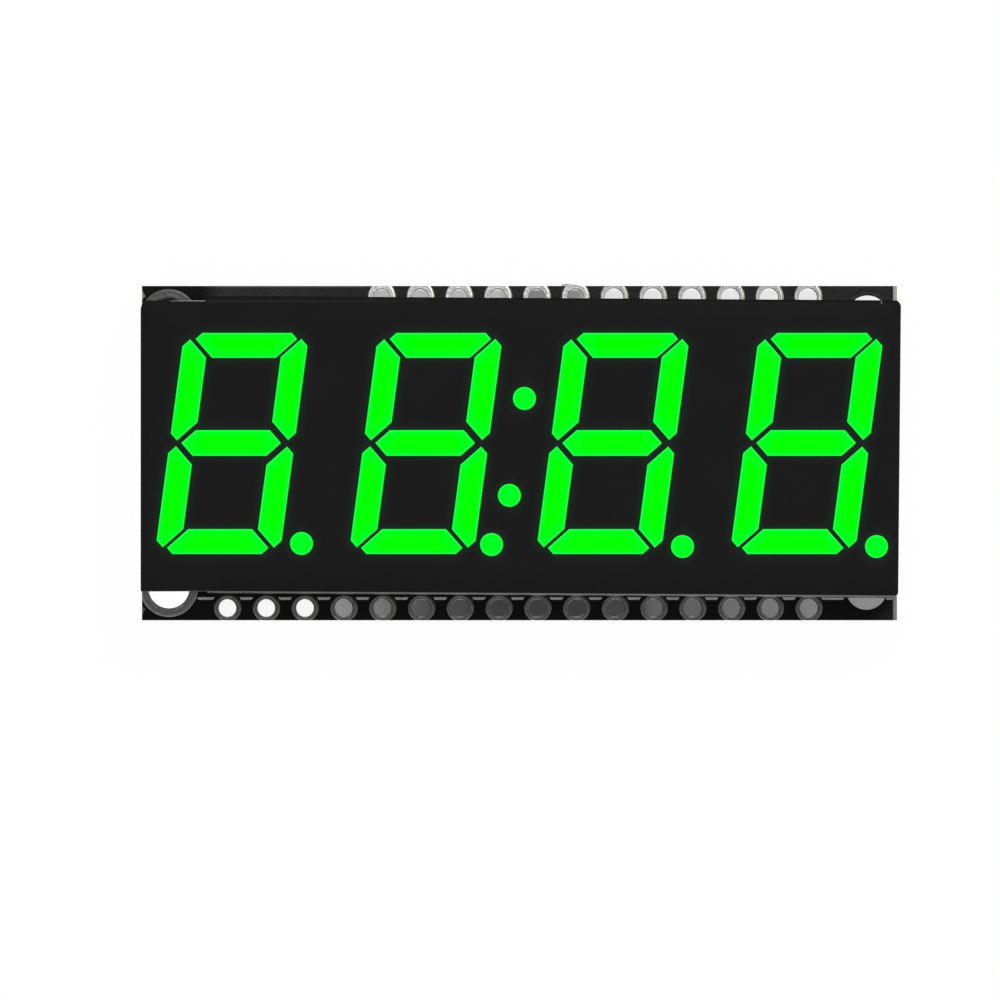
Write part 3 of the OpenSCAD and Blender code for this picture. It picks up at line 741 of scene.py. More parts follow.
# How far a bar's window lies up or down from its drawn place, by the segment's letter.
WINDOW_RISE = {"a": -0.012, "b": 0.022, "c": 0.003, "d": 0.010, "e": 0.022, "f": -0.006, "g": 0.006}
GLOW_REACH = 0.6                 # how far the light shows on the face round a window
GLOW_FALL = 1.6                  # how steeply it fades over that distance
GLOW_RINGS = (0.09, 0.2, 0.36, GLOW_REACH)
GLOW_SPACING = 0.45              # between the face's points along those rings
GLOW_CLEAR = 0.05                # least distance between two of them, and to a window
GLOW_MARGIN = 0.3                # and to the face's ends
cavity_z = box_mm("led_board")[1].z


def eased(outline, letter):
    """A bar's window as moulded: each side lies further out, and the whole a little up or down."""
    swell, end_swell = LEVEL_SWELL if letter in "adg" else UPRIGHT_SWELL
    shift = Vector((WINDOW_SHIFT, WINDOW_RISE[letter]))
    moved = []
    for a, b in zip(outline, outline[1:] + outline[:1]):
        side = Vector(b) - Vector(a)
        out = Vector((side.y, -side.x)).normalized()
        allowance = end_swell if side.length < END_L else swell
        moved.append((out, out.dot(Vector(a)) + allowance + out.dot(shift)))
    corners = []
    for (n, c), (m, d) in zip(moved[-1:] + moved[:-1], moved):
        cross = n.x * m.y - n.y * m.x
        corners.append(((c * m.y - d * n.y) / cross, (n.x * d - m.x * c) / cross))
    return corners


def outline_of(node):
    """The outline of a light bar or dot, anticlockwise, from the top of its CAD solid."""
    low, high = box_mm(node)
    mid = middle(low, high)
    if node in DOTS:
        return circle(mid.x + WINDOW_SHIFT, mid.y, (high.x - low.x) / 2 + DOT_SWELL, 56)
    corners = {(round(v.co.x / MM, 4), round(v.co.y / MM, 4))
               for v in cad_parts[node].data.vertices if v.co.z / MM > high.z - 0.001}
    return eased(sorted(corners, key=lambda p: math.atan2(p[1] - mid.y, p[0] - mid.x)), node[-1])


windows = {node: outline_of(node) for node in BARS + DOTS}


def distances(points, outlines):
    """Distance of each point to the nearest side of any outline."""
    one = np.array([p for o in outlines for p in o])
    two = np.array([p for o in outlines for p in o[1:] + o[:1]])
    points = np.array(points)
    nearest = np.full(len(points), 1e9)
    for a, b in zip(one, two):
        side = b - a
        t = np.clip(((points - a) @ side) / (side @ side), 0, 1)
        gap = np.linalg.norm(points - a - t[:, None] * side, axis=1)
        nearest = np.minimum(nearest, gap)
    return nearest


def glow_points():
    """Points on the face that follow the glow round each window."""
    found = []
    for outline in windows.values():
        for reach in GLOW_RINGS:
            ring = grown(outline, reach)
            for (ax, ay), (bx, by) in zip(ring, ring[1:] + ring[:1]):
                count = max(1, round(math.hypot(bx - ax, by - ay) / GLOW_SPACING))
                found += [(ax + (bx - ax) * i / count, ay + (by - ay) * i / count)
                          for i in range(count)]
    taken = set()
    kept = []
    for point, gap in zip(found, distances(found, windows.values())):
        cell = (round(point[0] / GLOW_CLEAR), round(point[1] / GLOW_CLEAR))
        on_face = shell_low.x + GLOW_MARGIN < point[0] < shell_high.x - GLOW_MARGIN
        if gap < GLOW_CLEAR or cell in taken or not on_face:
            continue
        if any(inside(point, outline) for outline in windows.values()):
            continue
        taken.add(cell)
        kept.append(point)
    return kept


def body_size():
    """Length and width of the display's foot, from the box of the turned block that fills its recess."""
    c, s = math.cos(BODY_TURN), abs(math.sin(BODY_TURN))
    x, y = (potting_high - potting_low).xy
    square = c * c - s * s
    return (x * c - y * s) / square + 2 * SHELL_WALL, (y * c - x * s) / square + 2 * SHELL_WALL


def body_outline(inset, draft, r=SHELL_CORNER_R):
    """Outline of the display's body, drawn in by inset all round and by draft on the long sides."""
    length, width = body_size()
    low = Vector((-length / 2, LOWER_DRAFT * draft - width / 2))
    high = Vector((length / 2, width / 2 - draft))
    mid = middle(potting_low, potting_high)
    c, s = math.cos(BODY_TURN), math.sin(BODY_TURN)
    return [(mid.x + x * c - y * s, mid.y + x * s + y * c)
            for x, y in rounded_rectangle(low, high, r, inset)]


def stepped(points, inset):
    """The body's outline with its -X end cut down to the narrower end, which has sharper corners."""
    quarter = len(points) // 4
    wide = points[3 * quarter:] + points[:quarter]
    wide = [(x - END_LEAN * (shell_high.y - y) / (shell_high.y - shell_low.y), y) for x, y in wide]
    left = min(p[0] for p in points)
    step = NARROW_END_X + inset
    y0, y1 = NARROW_END[0] + inset, NARROW_END[1] - inset

    def side(a, b):
        """Where the line from a to b meets the step."""
        return (step, a[1] + (b[1] - a[1]) * (step - a[0]) / (b[0] - a[0]))

    upper = side(points[quarter], wide[-1])
    lower = side(points[3 * quarter - 1], wide[0])
    r = END_CORNER_R
    corners = [(left + inwards, y1 - down) for inwards, down in END_CUT]
    corners += circle(left + r, y0 + r, r, 4, TAU / 2, TAU / 4)
    inner_upper = (step, min(y1, upper[1] - 0.01))
    inner_lower = (step, max(y0, lower[1] + 0.01))
    return wide + [upper, inner_upper] + corners + [inner_lower, lower]


# The shell's materials, by their place in its list.
ON_FACE, ON_WALL, ON_UPPER_WALL, ON_WINDOW_EDGE, ON_END_WALL = range(5)


def cut_windows(skin):
    """The rounded edges and walls of all windows, as the rings on the face and on the cavity's roof."""
    lips, floors = [], []
    for outline in windows.values():
        lips.append(skin.ring(grown(outline, WINDOW_BEVEL), face_z))
        shoulder = skin.ring(grown(outline, WINDOW_BEVEL * 0.3), face_z - WINDOW_BEVEL * 0.3)
        edge = skin.ring(outline, face_z - WINDOW_BEVEL)
        floors.append(skin.ring(outline, cavity_z))
        skin.walls(lips[-1], shoulder, edge, material=ON_WINDOW_EDGE)
        skin.wall(edge, floors[-1], ON_WALL)
    return lips, floors


def paint_walls(mesh):
    """The finishes of the shell's upper wall and of its two end walls."""
    for side in mesh.polygons:
        upper = side.normal.y > 0.5 and side.center.y > 0.9 * potting_high.y * MM
        if side.material_index == ON_WALL and upper:
            side.material_index = ON_UPPER_WALL
        elif side.material_index == ON_WALL and abs(side.normal.x) > 0.5:
            side.material_index = ON_END_WALL


def mark_glow(mesh):
    """Tells each point of the face how strongly it shows the painted green glow round the windows."""
    flat = [(v.co.x / MM, v.co.y / MM) for v in mesh.vertices]
    shine = np.clip(1 - distances(flat, windows.values()) / GLOW_REACH, 0, 1) ** GLOW_FALL
    high = np.array([v.co.z for v in mesh.vertices]) > (face_z - 0.02) * MM
    glow = mesh.attributes.new("glow", "FLOAT", "POINT")
    glow.data.foreach_set("value", (shine * high).astype(np.float32))


def make_shell():
    """The display's black shell: windowed face, side walls and the recess at the back."""
    skin = Skin()
    outer = [skin.ring(stepped(body_outline(inset, SIDE_DRAFT), inset), face_z - depth)
             for inset, depth in FACE_EDGE]
    foot = skin.ring(stepped(body_outline(0, 0), 0), shell_low.z)
    recess = [skin.ring(body_outline(SHELL_WALL, 0, RECESS_R + SHELL_WALL), z)
              for z in (shell_low.z, cavity_z)]
    lips, floors = cut_windows(skin)
    skin.plate(outer[0], lips, skin.ring(glow_points(), face_z), ON_FACE)
    skin.wall(outer[0], outer[1], ON_FACE)
    skin.walls(*outer[1:], foot, material=ON_WALL)
    skin.plate(foot, [recess[0]], material=ON_WALL)
    skin.wall(recess[0], recess[1], ON_WALL)
    skin.plate(recess[1], floors, material=ON_WALL)
    shell = skin.done("display_shell_skin", FACE, SHELL, MATT_SHELL, WINDOW_EDGE, SATIN_SHELL)
    paint_walls(shell.data)
    mark_glow(shell.data)
    fit(shell, "shell", "display_shell")


def make_glint_slivers():
    """Pale slivers on the upper edge of the display's face: painted highlights standing in for glints on
    that edge.
    """
    skin = Skin()
    for x0, x1, y0, y1 in GLINT_SLIVERS:
        corners = [(x0, y0), (x1, y0), (x1, y1), (x0, y1)]
        skin.stack([(corners, face_z - 0.15), (corners, face_z + 0.005)])
    fit(skin.done("moulding_flash", GLINT_FINISH), "shell")


# ---------------------------------------------------------------- the lit bars and dots

LIGHT_SINK = 0.02                # the resin's skin lies this far under the face
CORE_WIDTH = 0.4                 # share of a bar's width that is pure green
CORE_ENDS = 1.3                  # length over which a bar's end turns bluer
POCKET = 0.17                    # half the width of the pocket that clears the LED chip
chip_top = box_mm("led_chips")[1].z


def shrunk(outline, along, share):
    """The outline drawn in towards its middle line, by share of the way to the lit core."""
    mid_x, mid_y = centre(outline)
    ux, uy = along
    us = [(x - mid_x) * ux + (y - mid_y) * uy for x, y in outline]
    half = max(abs(u) for u in us)
    end_share = 1 + (max(half - CORE_ENDS, 0.2) / half - 1) * share
    side_share = 1 + (CORE_WIDTH - 1) * share
    result = []
    for (x, y), u in zip(outline, us):
        v = (y - mid_y) * ux - (x - mid_x) * uy
        u, v = u * end_share, v * side_share
        result.append((mid_x + u * ux - v * uy, mid_y + u * uy + v * ux))
    return result


def long_axis(outline):
    """The direction of an outline's longest side."""
    sides = [Vector(b) - Vector(a) for a, b in zip(outline, outline[1:] + outline[:1])]
    return tuple(max(sides, key=lambda side: side.length).normalized())


def make_light(node):
    """One bar or dot of lit resin that fills its window down to the LED board.

    Its points know how near the rim they lie: 0 in the lit core, 1 towards the rim and 2 at the edge.
    """
    outline = windows[node]
    skin = Skin()
    top = face_z - LIGHT_SINK
    base = skin.ring(outline, cavity_z)
    rings = [(skin.ring(outline, top - 0.03), 2.0), (skin.ring(grown(outline, -0.02), top), 2.0),
             (skin.ring(grown(outline, -0.12), top), 1.0)]
    if node in DOTS:
        rings.append((skin.ring(grown(outline, -0.4), top), 0.9))
    else:
        along = long_axis(outline)
        rings += [(skin.ring(shrunk(grown(outline, -0.02), along, share), top), 1 - share)
                  for share in (0.35, 0.7, 1.0)]
    skin.walls(base, *(ring for ring, _ in rings))
    skin.lid(rings[-1][0])
    x, y = centre(outline)
    pocket = [(x - POCKET, y - POCKET), (x + POCKET, y - POCKET),
              (x + POCKET, y + POCKET), (x - POCKET, y + POCKET)]
    mouth, roof = skin.ring(pocket, cavity_z), skin.ring(pocket, chip_top)
    skin.plate(base, [mouth])
    skin.wall(mouth, roof)
    skin.lid(roof)
    levels = [1.0] * len(base) + [rim for ring, rim in rings for _ in ring] + [1.0] * 2 * len(pocket)
    light = skin.done(node + "_lens", LIGHT)
    rim = light.data.attributes.new("rim", "FLOAT", "POINT")
    rim.data.foreach_set("value", np.array(levels, np.float32))
    fit(light, "lit_epoxy", node)


# ---------------------------------------------------------------- repeating pieces

def make_rows_tree():
    """Repeats one piece along X and then in rows along Y, each row turned about Z."""
    tree, given, out = new_tree(
        "rows", "GeometryNodeTree",
        [("Piece", "NodeSocketObject", None), ("Count", "NodeSocketInt", 2),
         ("Start", VECTOR, None), ("Step", VECTOR, None),
         ("Rows", "NodeSocketInt", 1), ("Row step", VECTOR, None), ("Row turn", FLOAT, 0.0),
         ("Finish", "NodeSocketMaterial", None)],
        [("Geometry", "NodeSocketGeometry")])
    piece = add(tree, "GeometryNodeObjectInfo", {"Object": given["Piece"]})
    line = add(tree, "GeometryNodeMeshLine", {
        "Count": given["Count"], "Start Location": given["Start"], "Offset": given["Step"]})
    row = add(tree, "GeometryNodeInstanceOnPoints", {
        "Points": line.outputs[0], "Instance": piece.outputs["Geometry"]})
    realized = add(tree, "GeometryNodeRealizeInstances", {0: row.outputs[0]})
    rows = add(tree, "GeometryNodeMeshLine", {"Count": given["Rows"], "Offset": given["Row step"]})
    index = add(tree, "GeometryNodeInputIndex").outputs[0]
    turn = add(tree, "ShaderNodeCombineXYZ", {"Z": math_node(tree, "MULTIPLY", index, given["Row turn"])})
    block = add(tree, "GeometryNodeInstanceOnPoints", {
        "Points": rows.outputs[0], "Instance": realized.outputs[0], "Rotation": turn.outputs[0]})
    whole = add(tree, "GeometryNodeRealizeInstances", {0: block.outputs[0]})
    painted = add(tree, "GeometryNodeSetMaterial", {
        "Geometry": whole.outputs[0], "Material": given["Finish"]})
    tree.links.new(painted.outputs[0], out.inputs[0])
    return tree


def make_ribbon_tree():
    """Turns the edges of a mesh into flat ribbons of one width and thickness."""
    tree, given, out = new_tree(
        "ribbons", "GeometryNodeTree",
        [("Geometry", "NodeSocketGeometry", None), ("Width", FLOAT, 0.2), ("Thickness", FLOAT, 0.02),
         ("Finish", "NodeSocketMaterial", None)],
        [("Geometry", "NodeSocketGeometry")])
    lines = add(tree, "GeometryNodeMeshToCurve", {0: given["Geometry"]})
    level = add(tree, "GeometryNodeSetCurveNormal", {"Curve": lines.outputs[0]}, mode="Z_UP")
    section = add(tree, "GeometryNodeCurvePrimitiveQuadrilateral", {
        "Width": given["Width"], "Height": given["Thickness"]})
    swept = add(tree, "GeometryNodeCurveToMesh", {
        "Curve": level.outputs[0], "Profile Curve": section.outputs[0], "Fill Caps": True})
    painted = add(tree, "GeometryNodeSetMaterial", {
        "Geometry": swept.outputs[0], "Material": given["Finish"]})
    tree.links.new(painted.outputs[0], out.inputs[0])
    return tree


ROWS = make_rows_tree()
RIBBONS = make_ribbon_tree()


def grow(tree, mesh=None, **values):
    """Runs a geometry tree on a mesh, or on nothing, and returns the plain mesh that it makes."""
    mesh = mesh or bpy.data.meshes.new("empty")
    maker = bpy.data.objects.new("maker", mesh)
    scene.collection.objects.link(maker)
    modifier = maker.modifiers.new("grow", "NODES")
    modifier.node_group = tree
    for item in tree.interface.items_tree:
        label = item.name.replace(" ", "_").lower()
        if item.in_out == "INPUT" and label in values:
            modifier[item.identifier] = values[label]
    bpy.context.view_layer.update()
    evaluated = maker.evaluated_get(bpy.context.evaluated_depsgraph_get())
    result = bpy.data.meshes.new_from_object(evaluated)
    bpy.data.objects.remove(maker)
    bpy.data.meshes.remove(mesh)
    return result


def repeat(skin, finish, start, count=1, step=PITCH, rows=1, row_step=0.0, row_turn=0.0):
    """One piece, made about the origin, repeated along X by step and in rows along Y by row_step."""
    bmesh.ops.recalc_face_normals(skin.bm, faces=skin.bm.faces)
    mesh = bpy.data.meshes.new("pattern")
    skin.bm.to_mesh(mesh)
    skin.bm.free()
    pattern = bpy.data.objects.new("pattern", mesh)
    result = grow(ROWS, piece=pattern, count=count, start=start, step=(step, 0, 0), rows=rows,
                  row_step=(0, row_step, 0), row_turn=row_turn, finish=finish)
    bpy.data.objects.remove(pattern)
    bpy.data.meshes.remove(mesh)
    return result


def joined(*meshes):
    """One mesh that holds all of these, with their materials."""
    bm = bmesh.new()
    materials = []
    for mesh in meshes:
        for material in mesh.materials:
            if material not in materials:
                materials.append(material)
        start = len(bm.faces)
        bm.from_mesh(mesh)
        bm.faces.ensure_lookup_table()
        for face in bm.faces[start:]:
            face.material_index = materials.index(mesh.materials[face.material_index])
    whole = bpy.data.meshes.new("joined")
    bm.to_mesh(whole)
    bm.free()
    for material in materials:
        whole.materials.append(material)
    return whole


def trimmed(mesh, place, normal):
    """Cuts a mesh of closed bodies at a plane, keeps what lies on the normal's side and closes the cuts."""
    bm = bmesh.new()
    bm.from_mesh(mesh)
    everything = bm.verts[:] + bm.edges[:] + bm.faces[:]
    cut = bmesh.ops.bisect_plane(bm, geom=everything, plane_co=place, plane_no=normal,
                                 clear_inner=True)["geom_cut"]
    bmesh.ops.holes_fill(bm, edges=[e for e in cut if isinstance(e, bmesh.types.BMEdge)])
    bmesh.ops.recalc_face_normals(bm, faces=bm.faces)
    bm.to_mesh(mesh)
    bm.free()
    return mesh


def lathe(profile, closed=True, steps=48, stretch=1.0):
    """A body turned about Z from (radius, z) points: a tube if closed, else capped at both ends.

    Its points know how far out they lie, from 0 to 1, and on which side, for the metal's finish.
    Stretch makes the outer half longer towards +Y.
    """
    skin = Skin()
    band, east, north = (skin.bm.verts.layers.float.new(name) for name in ("band", "east", "north"))
    inner, outer = min(r for r, _ in profile), max(r for r, _ in profile)
    rings = [skin.ring(circle(0, 0, r, steps), z) for r, z in profile]
    for ring, (r, _) in zip(rings, profile):
        for vert in ring:
            share = (r - inner) / (outer - inner)
            vert[band] = share
            vert[east], vert[north] = vert.co.x / r, vert.co.y / r
            if vert.co.y > 0:
                vert.co.y *= 1 + (stretch - 1) * max(0.0, 2 * share - 1)
    skin.walls(*rings)
    if closed:
        skin.wall(rings[-1], rings[0])
    else:
        skin.lid(rings[0])
        skin.lid(rings[-1])
    return skin


# ---------------------------------------------------------------- pads and plated holes

def plated_profile(hole_r, pad_r, groove=0.014, roll=1.0):
    """Closed section of a plated hole: barrel, rolled lip, shallow groove, and a soft outer bead."""
    half = (deck - belly) / 2
    top = half + PAD_RISE
    width = pad_r - hole_r
    section = [(hole_r, half - 0.1), (hole_r + 0.008 * roll, half - 0.02),
               (hole_r + 0.03 * roll, top - 0.008 * roll), (hole_r + 0.055 * roll, top)]
    section += [(hole_r + share * width, top - depth * groove)
                for share, depth in [(0.25, 0.4), (0.4, 1.0), (0.55, 0.6), (0.7, 0.07), (0.82, 0.0)]]
    section += [(pad_r - 0.025, top - 0.01), (pad_r, half + 0.004), (pad_r, half), (hole_r + PLATING, half)]
    return section + [(r, -z) for r, z in reversed(section)]


def header_rings(hole_r, pad_r, finish, row, groove=0.014, roll=1.0, stretch=1.0):
    """A row of plated header holes."""
    ring = lathe(plated_profile(hole_r, pad_r, groove, roll), stretch=stretch)
    return repeat(ring, finish, (*row[0], board_mid.z), len(row))


def make_header_pads():
    """The tinned pads and barrels of the two header rows, cut off where they cross the board's edge."""
    rings = header_rings(HOLE_R, PAD_R, TIN, long_row)
    rings = placed("long_row_rings", trimmed(rings, (0, edge_low, 0), (0, 1, 0)))
    fit(rings, "tinned_copper", "long_row_pads")
    thick = header_rings(THICK_HOLE_R, UPPER_PAD_R, THICK_TIN, short_row[:THICK_HOLES],
                         groove=0.003, roll=0.5, stretch=UPPER_STRETCH)
    thin = header_rings(UPPER_HOLE_R, UPPER_PAD_R, BRIGHT_TIN, short_row[THICK_HOLES:],
                        groove=0.003, roll=0.2, stretch=UPPER_STRETCH)
    rings = placed("short_row_rings", trimmed(joined(thick, thin), (0, edge_high, 0), (0, -1, 0)))
    fit(rings, "tinned_copper", "short_row_pads")


def make_edge_burr():
    """A torn crumb of metal that stands proud of the board's upper edge."""
    x0, x1 = 2.7, 3.9
    skin = Skin()
    skin.stack([([(x0, edge_high + a), (x0 + 0.3, edge_high + a + 0.03), (x1, edge_high + b),
                  (x1, edge_high - 0.05), (x0 + 0.5, edge_high - 0.02), (x0, edge_high + a - 0.1)], z)
                for a, b, z in [(0.05, 0.0, deck - 0.12), (0.13, 0.02, deck - 0.05),
                                (0.1, 0.0, deck + 0.02)]])
    fit(skin.done("edge_burr", TIN), "tinned_copper")


def make_corner_pads():
    """The two plated corner holes, cut off at the board's end."""
    lower = lathe(plated_profile(CORNER_HOLE_R, CORNER_PAD_R), steps=96)
    upper = lathe(plated_profile(CORNER_HOLE_R, CORNER_PAD_R, groove=0.006, roll=0.3), steps=96)
    # The upper ring takes the tin darkened as painted shade.
    corners = joined(*(repeat(ring, finish, (*place, board_mid.z)) for ring, finish, place in
                       zip((lower, upper), (OLD_TIN, SHADED_CORNER_TIN), plated_corners)))
    corners = trimmed(corners, board_low, (1, 0, 0))
    fit(placed("corner_rings", corners), "tinned_copper", "corner_pads")


def at_display_pins(skin, finish, z=0.0):
    """One piece at each of the display's pins, in both rows."""
    return repeat(skin, finish, (pin_xs[0], pin_rows[0], z), len(pin_xs),
                  rows=2, row_step=pin_rows[1] - pin_rows[0])


def make_pin_pads():
    """The plated holes that take the display's pins."""
    ring = lathe(plated_profile(PIN_HOLE_R, PIN_PAD_R), steps=36)
    pins = at_display_pins(ring, TIN, board_mid.z)
    fit(placed("pin_hole_rings", pins), "tinned_copper", "display_pin_pads")


# ---------------------------------------------------------------- the board

def notch(x, y, r, gap, normal, steps=20):
    """The arc of a round opening that crosses a board edge, gap away from it in the direction normal."""
    reach = math.acos(gap / r)
    return circle(x, y, r, steps, normal - reach, -(TAU - 2 * reach))


def stretched(points, y):
    """The points above y moved further up, to follow the upper pads."""
    return [(px, y + (py - y) * (UPPER_STRETCH if py > y else 1.0)) for px, py in points]


def mask_outline():
    """Outline of the solder mask: open round the header pads and at the edge marks."""
    x0, x1 = board_low.x, board_high.x - SCORE_W
    y0, y1 = edge_low, edge_high
    lower_corner, upper_corner = (notch(x, y, CORNER_PAD_R + MASK_GAP, x - x0, TAU / 2, 40)
                                  for x, y in plated_corners)

    def tab(y, half, depth, tip):
        """A chipped spot on the board's end, with its tip this far above its middle."""
        return [(x0, y + half), (x0 + depth, y + tip), (x0 + 0.6 * depth, y + 0.4 * (tip - half)),
                (x0, y - half)]

    points = [(x0, y0)]
    for x, y in long_row:
        points += notch(x + MASK_SLIP, y, PAD_R + MASK_GAP, y - y0, -TAU / 4)
    points += [(x1, y0), (x1, y1)]
    for x, y in reversed(short_row):
        arc = notch(x + MASK_SLIP, y, UPPER_PAD_R + MASK_GAP, (y1 - y) / UPPER_STRETCH, TAU / 4)
        points += stretched(arc, y)
    points.append((x0, y1))
    return (points + tab(10.42, half=0.36, depth=0.22, tip=-0.12) + upper_corner + lower_corner
            + tab(-10.32, half=0.34, depth=0.2, tip=0.1))


def make_mask(name, low_z, high_z):
    """One layer of solder mask, open over every pad and hole."""
    openings = [circle(x, y, PIN_PAD_R + MASK_GAP, 32) for y in pin_rows for x in pin_xs]
    openings += [circle(x, y, CORNER_HOLE_R + 0.012, 72) for x, y in plain_corners]
    skin = Skin()
    outline = mask_outline()
    low, high = skin.ring(outline, low_z), skin.ring(outline, high_z)
    skin.wall(low, high)
    skin.drill(low, high, openings)
    fit(skin.done(name, MASK_INK), "board")


def make_laminate():
    """The board's glass fibre core with all its holes and the snapped score line's bevels."""
    plated = [(long_row, HOLE_R), (short_row[:THICK_HOLES], THICK_HOLE_R),
              (short_row[THICK_HOLES:], UPPER_HOLE_R),
              ([(x, y) for y in pin_rows for x in pin_xs], PIN_HOLE_R)]
    openings = [circle(x, y, r + PLATING, 36) for places, r in plated for x, y in places]
    openings += [circle(x, y, CORNER_HOLE_R + PLATING, 72) for x, y in plated_corners]
    openings += [circle(x, y, CORNER_HOLE_R, 72) for x, y in plain_corners]
    skin = Skin()
    x0, x1, y0, y1 = board_low.x, board_high.x, edge_low, edge_high
    levels = [skin.ring([(x0, y0), (x1 - inset, y0), (x1 - inset, y1), (x0, y1)], z)
              for inset, z in [(SCORE_W, belly + MASK), (0, belly + SCORE_H),
                               (0, deck - SCORE_H), (SCORE_W, deck - MASK)]]
    skin.walls(*levels)
    skin.drill(levels[0], levels[-1], openings)
    fit(skin.done("board_core", LAMINATE), "board", "circuit_board")


def line_mesh(lines, z):
    """A mesh of bare edges along these lines of points, at one height."""
    mesh = bpy.data.meshes.new("lines")
    points, edges = [], []
    for line in lines:
        edges += [(len(points) + i, len(points) + i + 1) for i in range(len(line) - 1)]
        points += [(x, y, z) for x, y in line]
    mesh.from_pydata(points, edges, [])
    return mesh


def ribbons(name, lines, z, width, thickness, finish):
    """Flat ribbons of ink or copper along these lines, on the board."""
    mesh = grow(RIBBONS, line_mesh(lines, z), width=width, thickness=thickness, finish=finish)
    fit(placed(name, mesh), "board")


INK_T = 0.012
OUTLINE_Y = 9.505                # printed outline of the display, from the board's middle
OUTLINE_X = 24.47
OUTLINE_W = 0.17
OUTLINE_CLEAR = 1.09             # the outline stops this far from a pad's middle
OUTLINE_ENDS = (1.05, 1.45)      # length of the dashes before the first pad and after the last
DASH_SLANT = 0.05                # each dash's ends lean by this


def make_top_ink():
    """The printed outline under the display, broken round each pad and corner hole."""
    reach = math.sqrt(OUTLINE_CLEAR ** 2 - (abs(long_y) - OUTLINE_Y) ** 2)
    low_y = board_mid.y - OUTLINE_Y - OUTLINE_W / 2
    high_y = low_y + OUTLINE_W
    first, last = long_xs[0] - reach, long_xs[-1] + reach
    spans = [(first - OUTLINE_ENDS[0], first)]
    spans += [(a + reach, b - reach) for a, b in zip(long_xs, long_xs[1:])]
    spans += [(last, last + OUTLINE_ENDS[1]), (plain_x + PITCH / 2, board_mid.x + OUTLINE_X)]
    skin = Skin()
    for a, b in spans:
        dash = [(a + DASH_SLANT, low_y), (b - DASH_SLANT, low_y),
                (b + DASH_SLANT, high_y), (a - DASH_SLANT, high_y)]
        skin.stack([(dash, deck), (dash, deck + INK_T)])
    fit(skin.done("display_outline_ink", INK), "board")


# ---------------------------------------------------------------- the driver chip and its leads

def make_driver_chip():
    """The chip's moulded body: drafted sides, parting ridge, a bevelled edge and the first pin's dimple."""
    low, high = box_mm("driver_chip")
    mid_z = (low.z + high.z) / 2
    draft, cut = 0.147, 0.45

    def outline(inset, bevel=0.0):
        """The body's outline this far in from its widest, cut back by the bevel on the first pin's side."""
        return rounded_rectangle(Vector((low.x + inset, low.y + inset + bevel)),
                                 Vector((high.x - inset, high.y - inset)), 0.1, 0, 4)

    levels = [(outline(draft + 0.03, cut), low.z), (outline(draft, cut - 0.03), low.z + 0.03),
              (outline(draft * (1 - cut / (mid_z - low.z))), low.z + cut)]
    levels += [(outline(inset), mid_z + rise) for inset, rise in
               [(0.006, -0.03), (-0.014, -0.02), (-0.014, 0.02), (0.006, 0.03)]]
    levels += [(outline(draft - 0.004), high.z - 0.03), (outline(draft + 0.03), high.z)]
    skin = Skin()
    rings = [skin.ring(points, z) for points, z in levels]
    skin.walls(*rings)
    skin.lid(rings[-1])
    mouths = []
    for x, y, r, depth in [(low.x + 1.35, low.y + 1.75, 0.55, 0.06),      # by the first pin
                           (-5.6, 0.25, 0.9, 0.02), (5.6, 0.25, 0.9, 0.02)]:      # ejector marks
        mouths.append(skin.ring(circle(x, y, r, 40), low.z))
        pit = skin.ring(circle(x, y, 0.94 * r, 40), low.z + depth)
        skin.wall(mouths[-1], pit, 1)
        skin.lid(pit, 1)
    skin.plate(rings[0], mouths)
    fit(skin.done("driver_chip_moulding", CHIP, CHIP_MARK), "chip_body", "driver_chip")


def filleted(points, r, steps=5):
    """A path with its inner corners eased by about this radius."""
    result = [points[0]]
    for before, here, after in zip(points, points[1:], points[2:]):
        before, here, after = Vector(before), Vector(here), Vector(after)
        one, two = (before - here).normalized(), (after - here).normalized()
        cut = r / math.tan(one.angle(two) / 2)
        start, end = here + one * cut, here + two * cut
        for i in range(steps + 1):
            t = i / steps
            result.append(tuple(start * (1 - t) ** 2 + here * (2 * t * (1 - t)) + end * t ** 2))
    return result + [points[-1]]


LEAD_PITCH = 1.27
LEAD_W = 0.42
LEAD_T = 0.25
LEADS = 14                       # on each long side
lead_low, lead_high = box_mm("driver_chip_leads")
lead_toe = lead_high.y
lead_xs = [lead_low.x + LEAD_W / 2 + i * LEAD_PITCH for i in range(LEADS)]


def along_chip(skin, finish):
    """One piece at each of the driver chip's leads, on both sides."""
    return repeat(skin, finish, (lead_xs[0], 0, 0), LEADS, LEAD_PITCH, rows=2, row_turn=math.pi)


def make_chip_leads():
    """Gull-wing leads on each long side, with rounded bends and softened edges."""
    start_z, foot_z = lead_low.z + LEAD_T / 2, lead_high.z - LEAD_T / 2
    path = [(lead_toe - 1.7, start_z), (lead_toe - 1.0, start_z), (lead_toe - 0.75, foot_z),
            (lead_toe, foot_z)]
    skin = Skin()
    skin.bar(filleted(path, 0.24), LEAD_W, LEAD_T, soft=0.035)
    leads = along_chip(skin, PIN_METAL)
    fit(placed("driver_chip_gull_wings", leads), "pin", "driver_chip_leads")


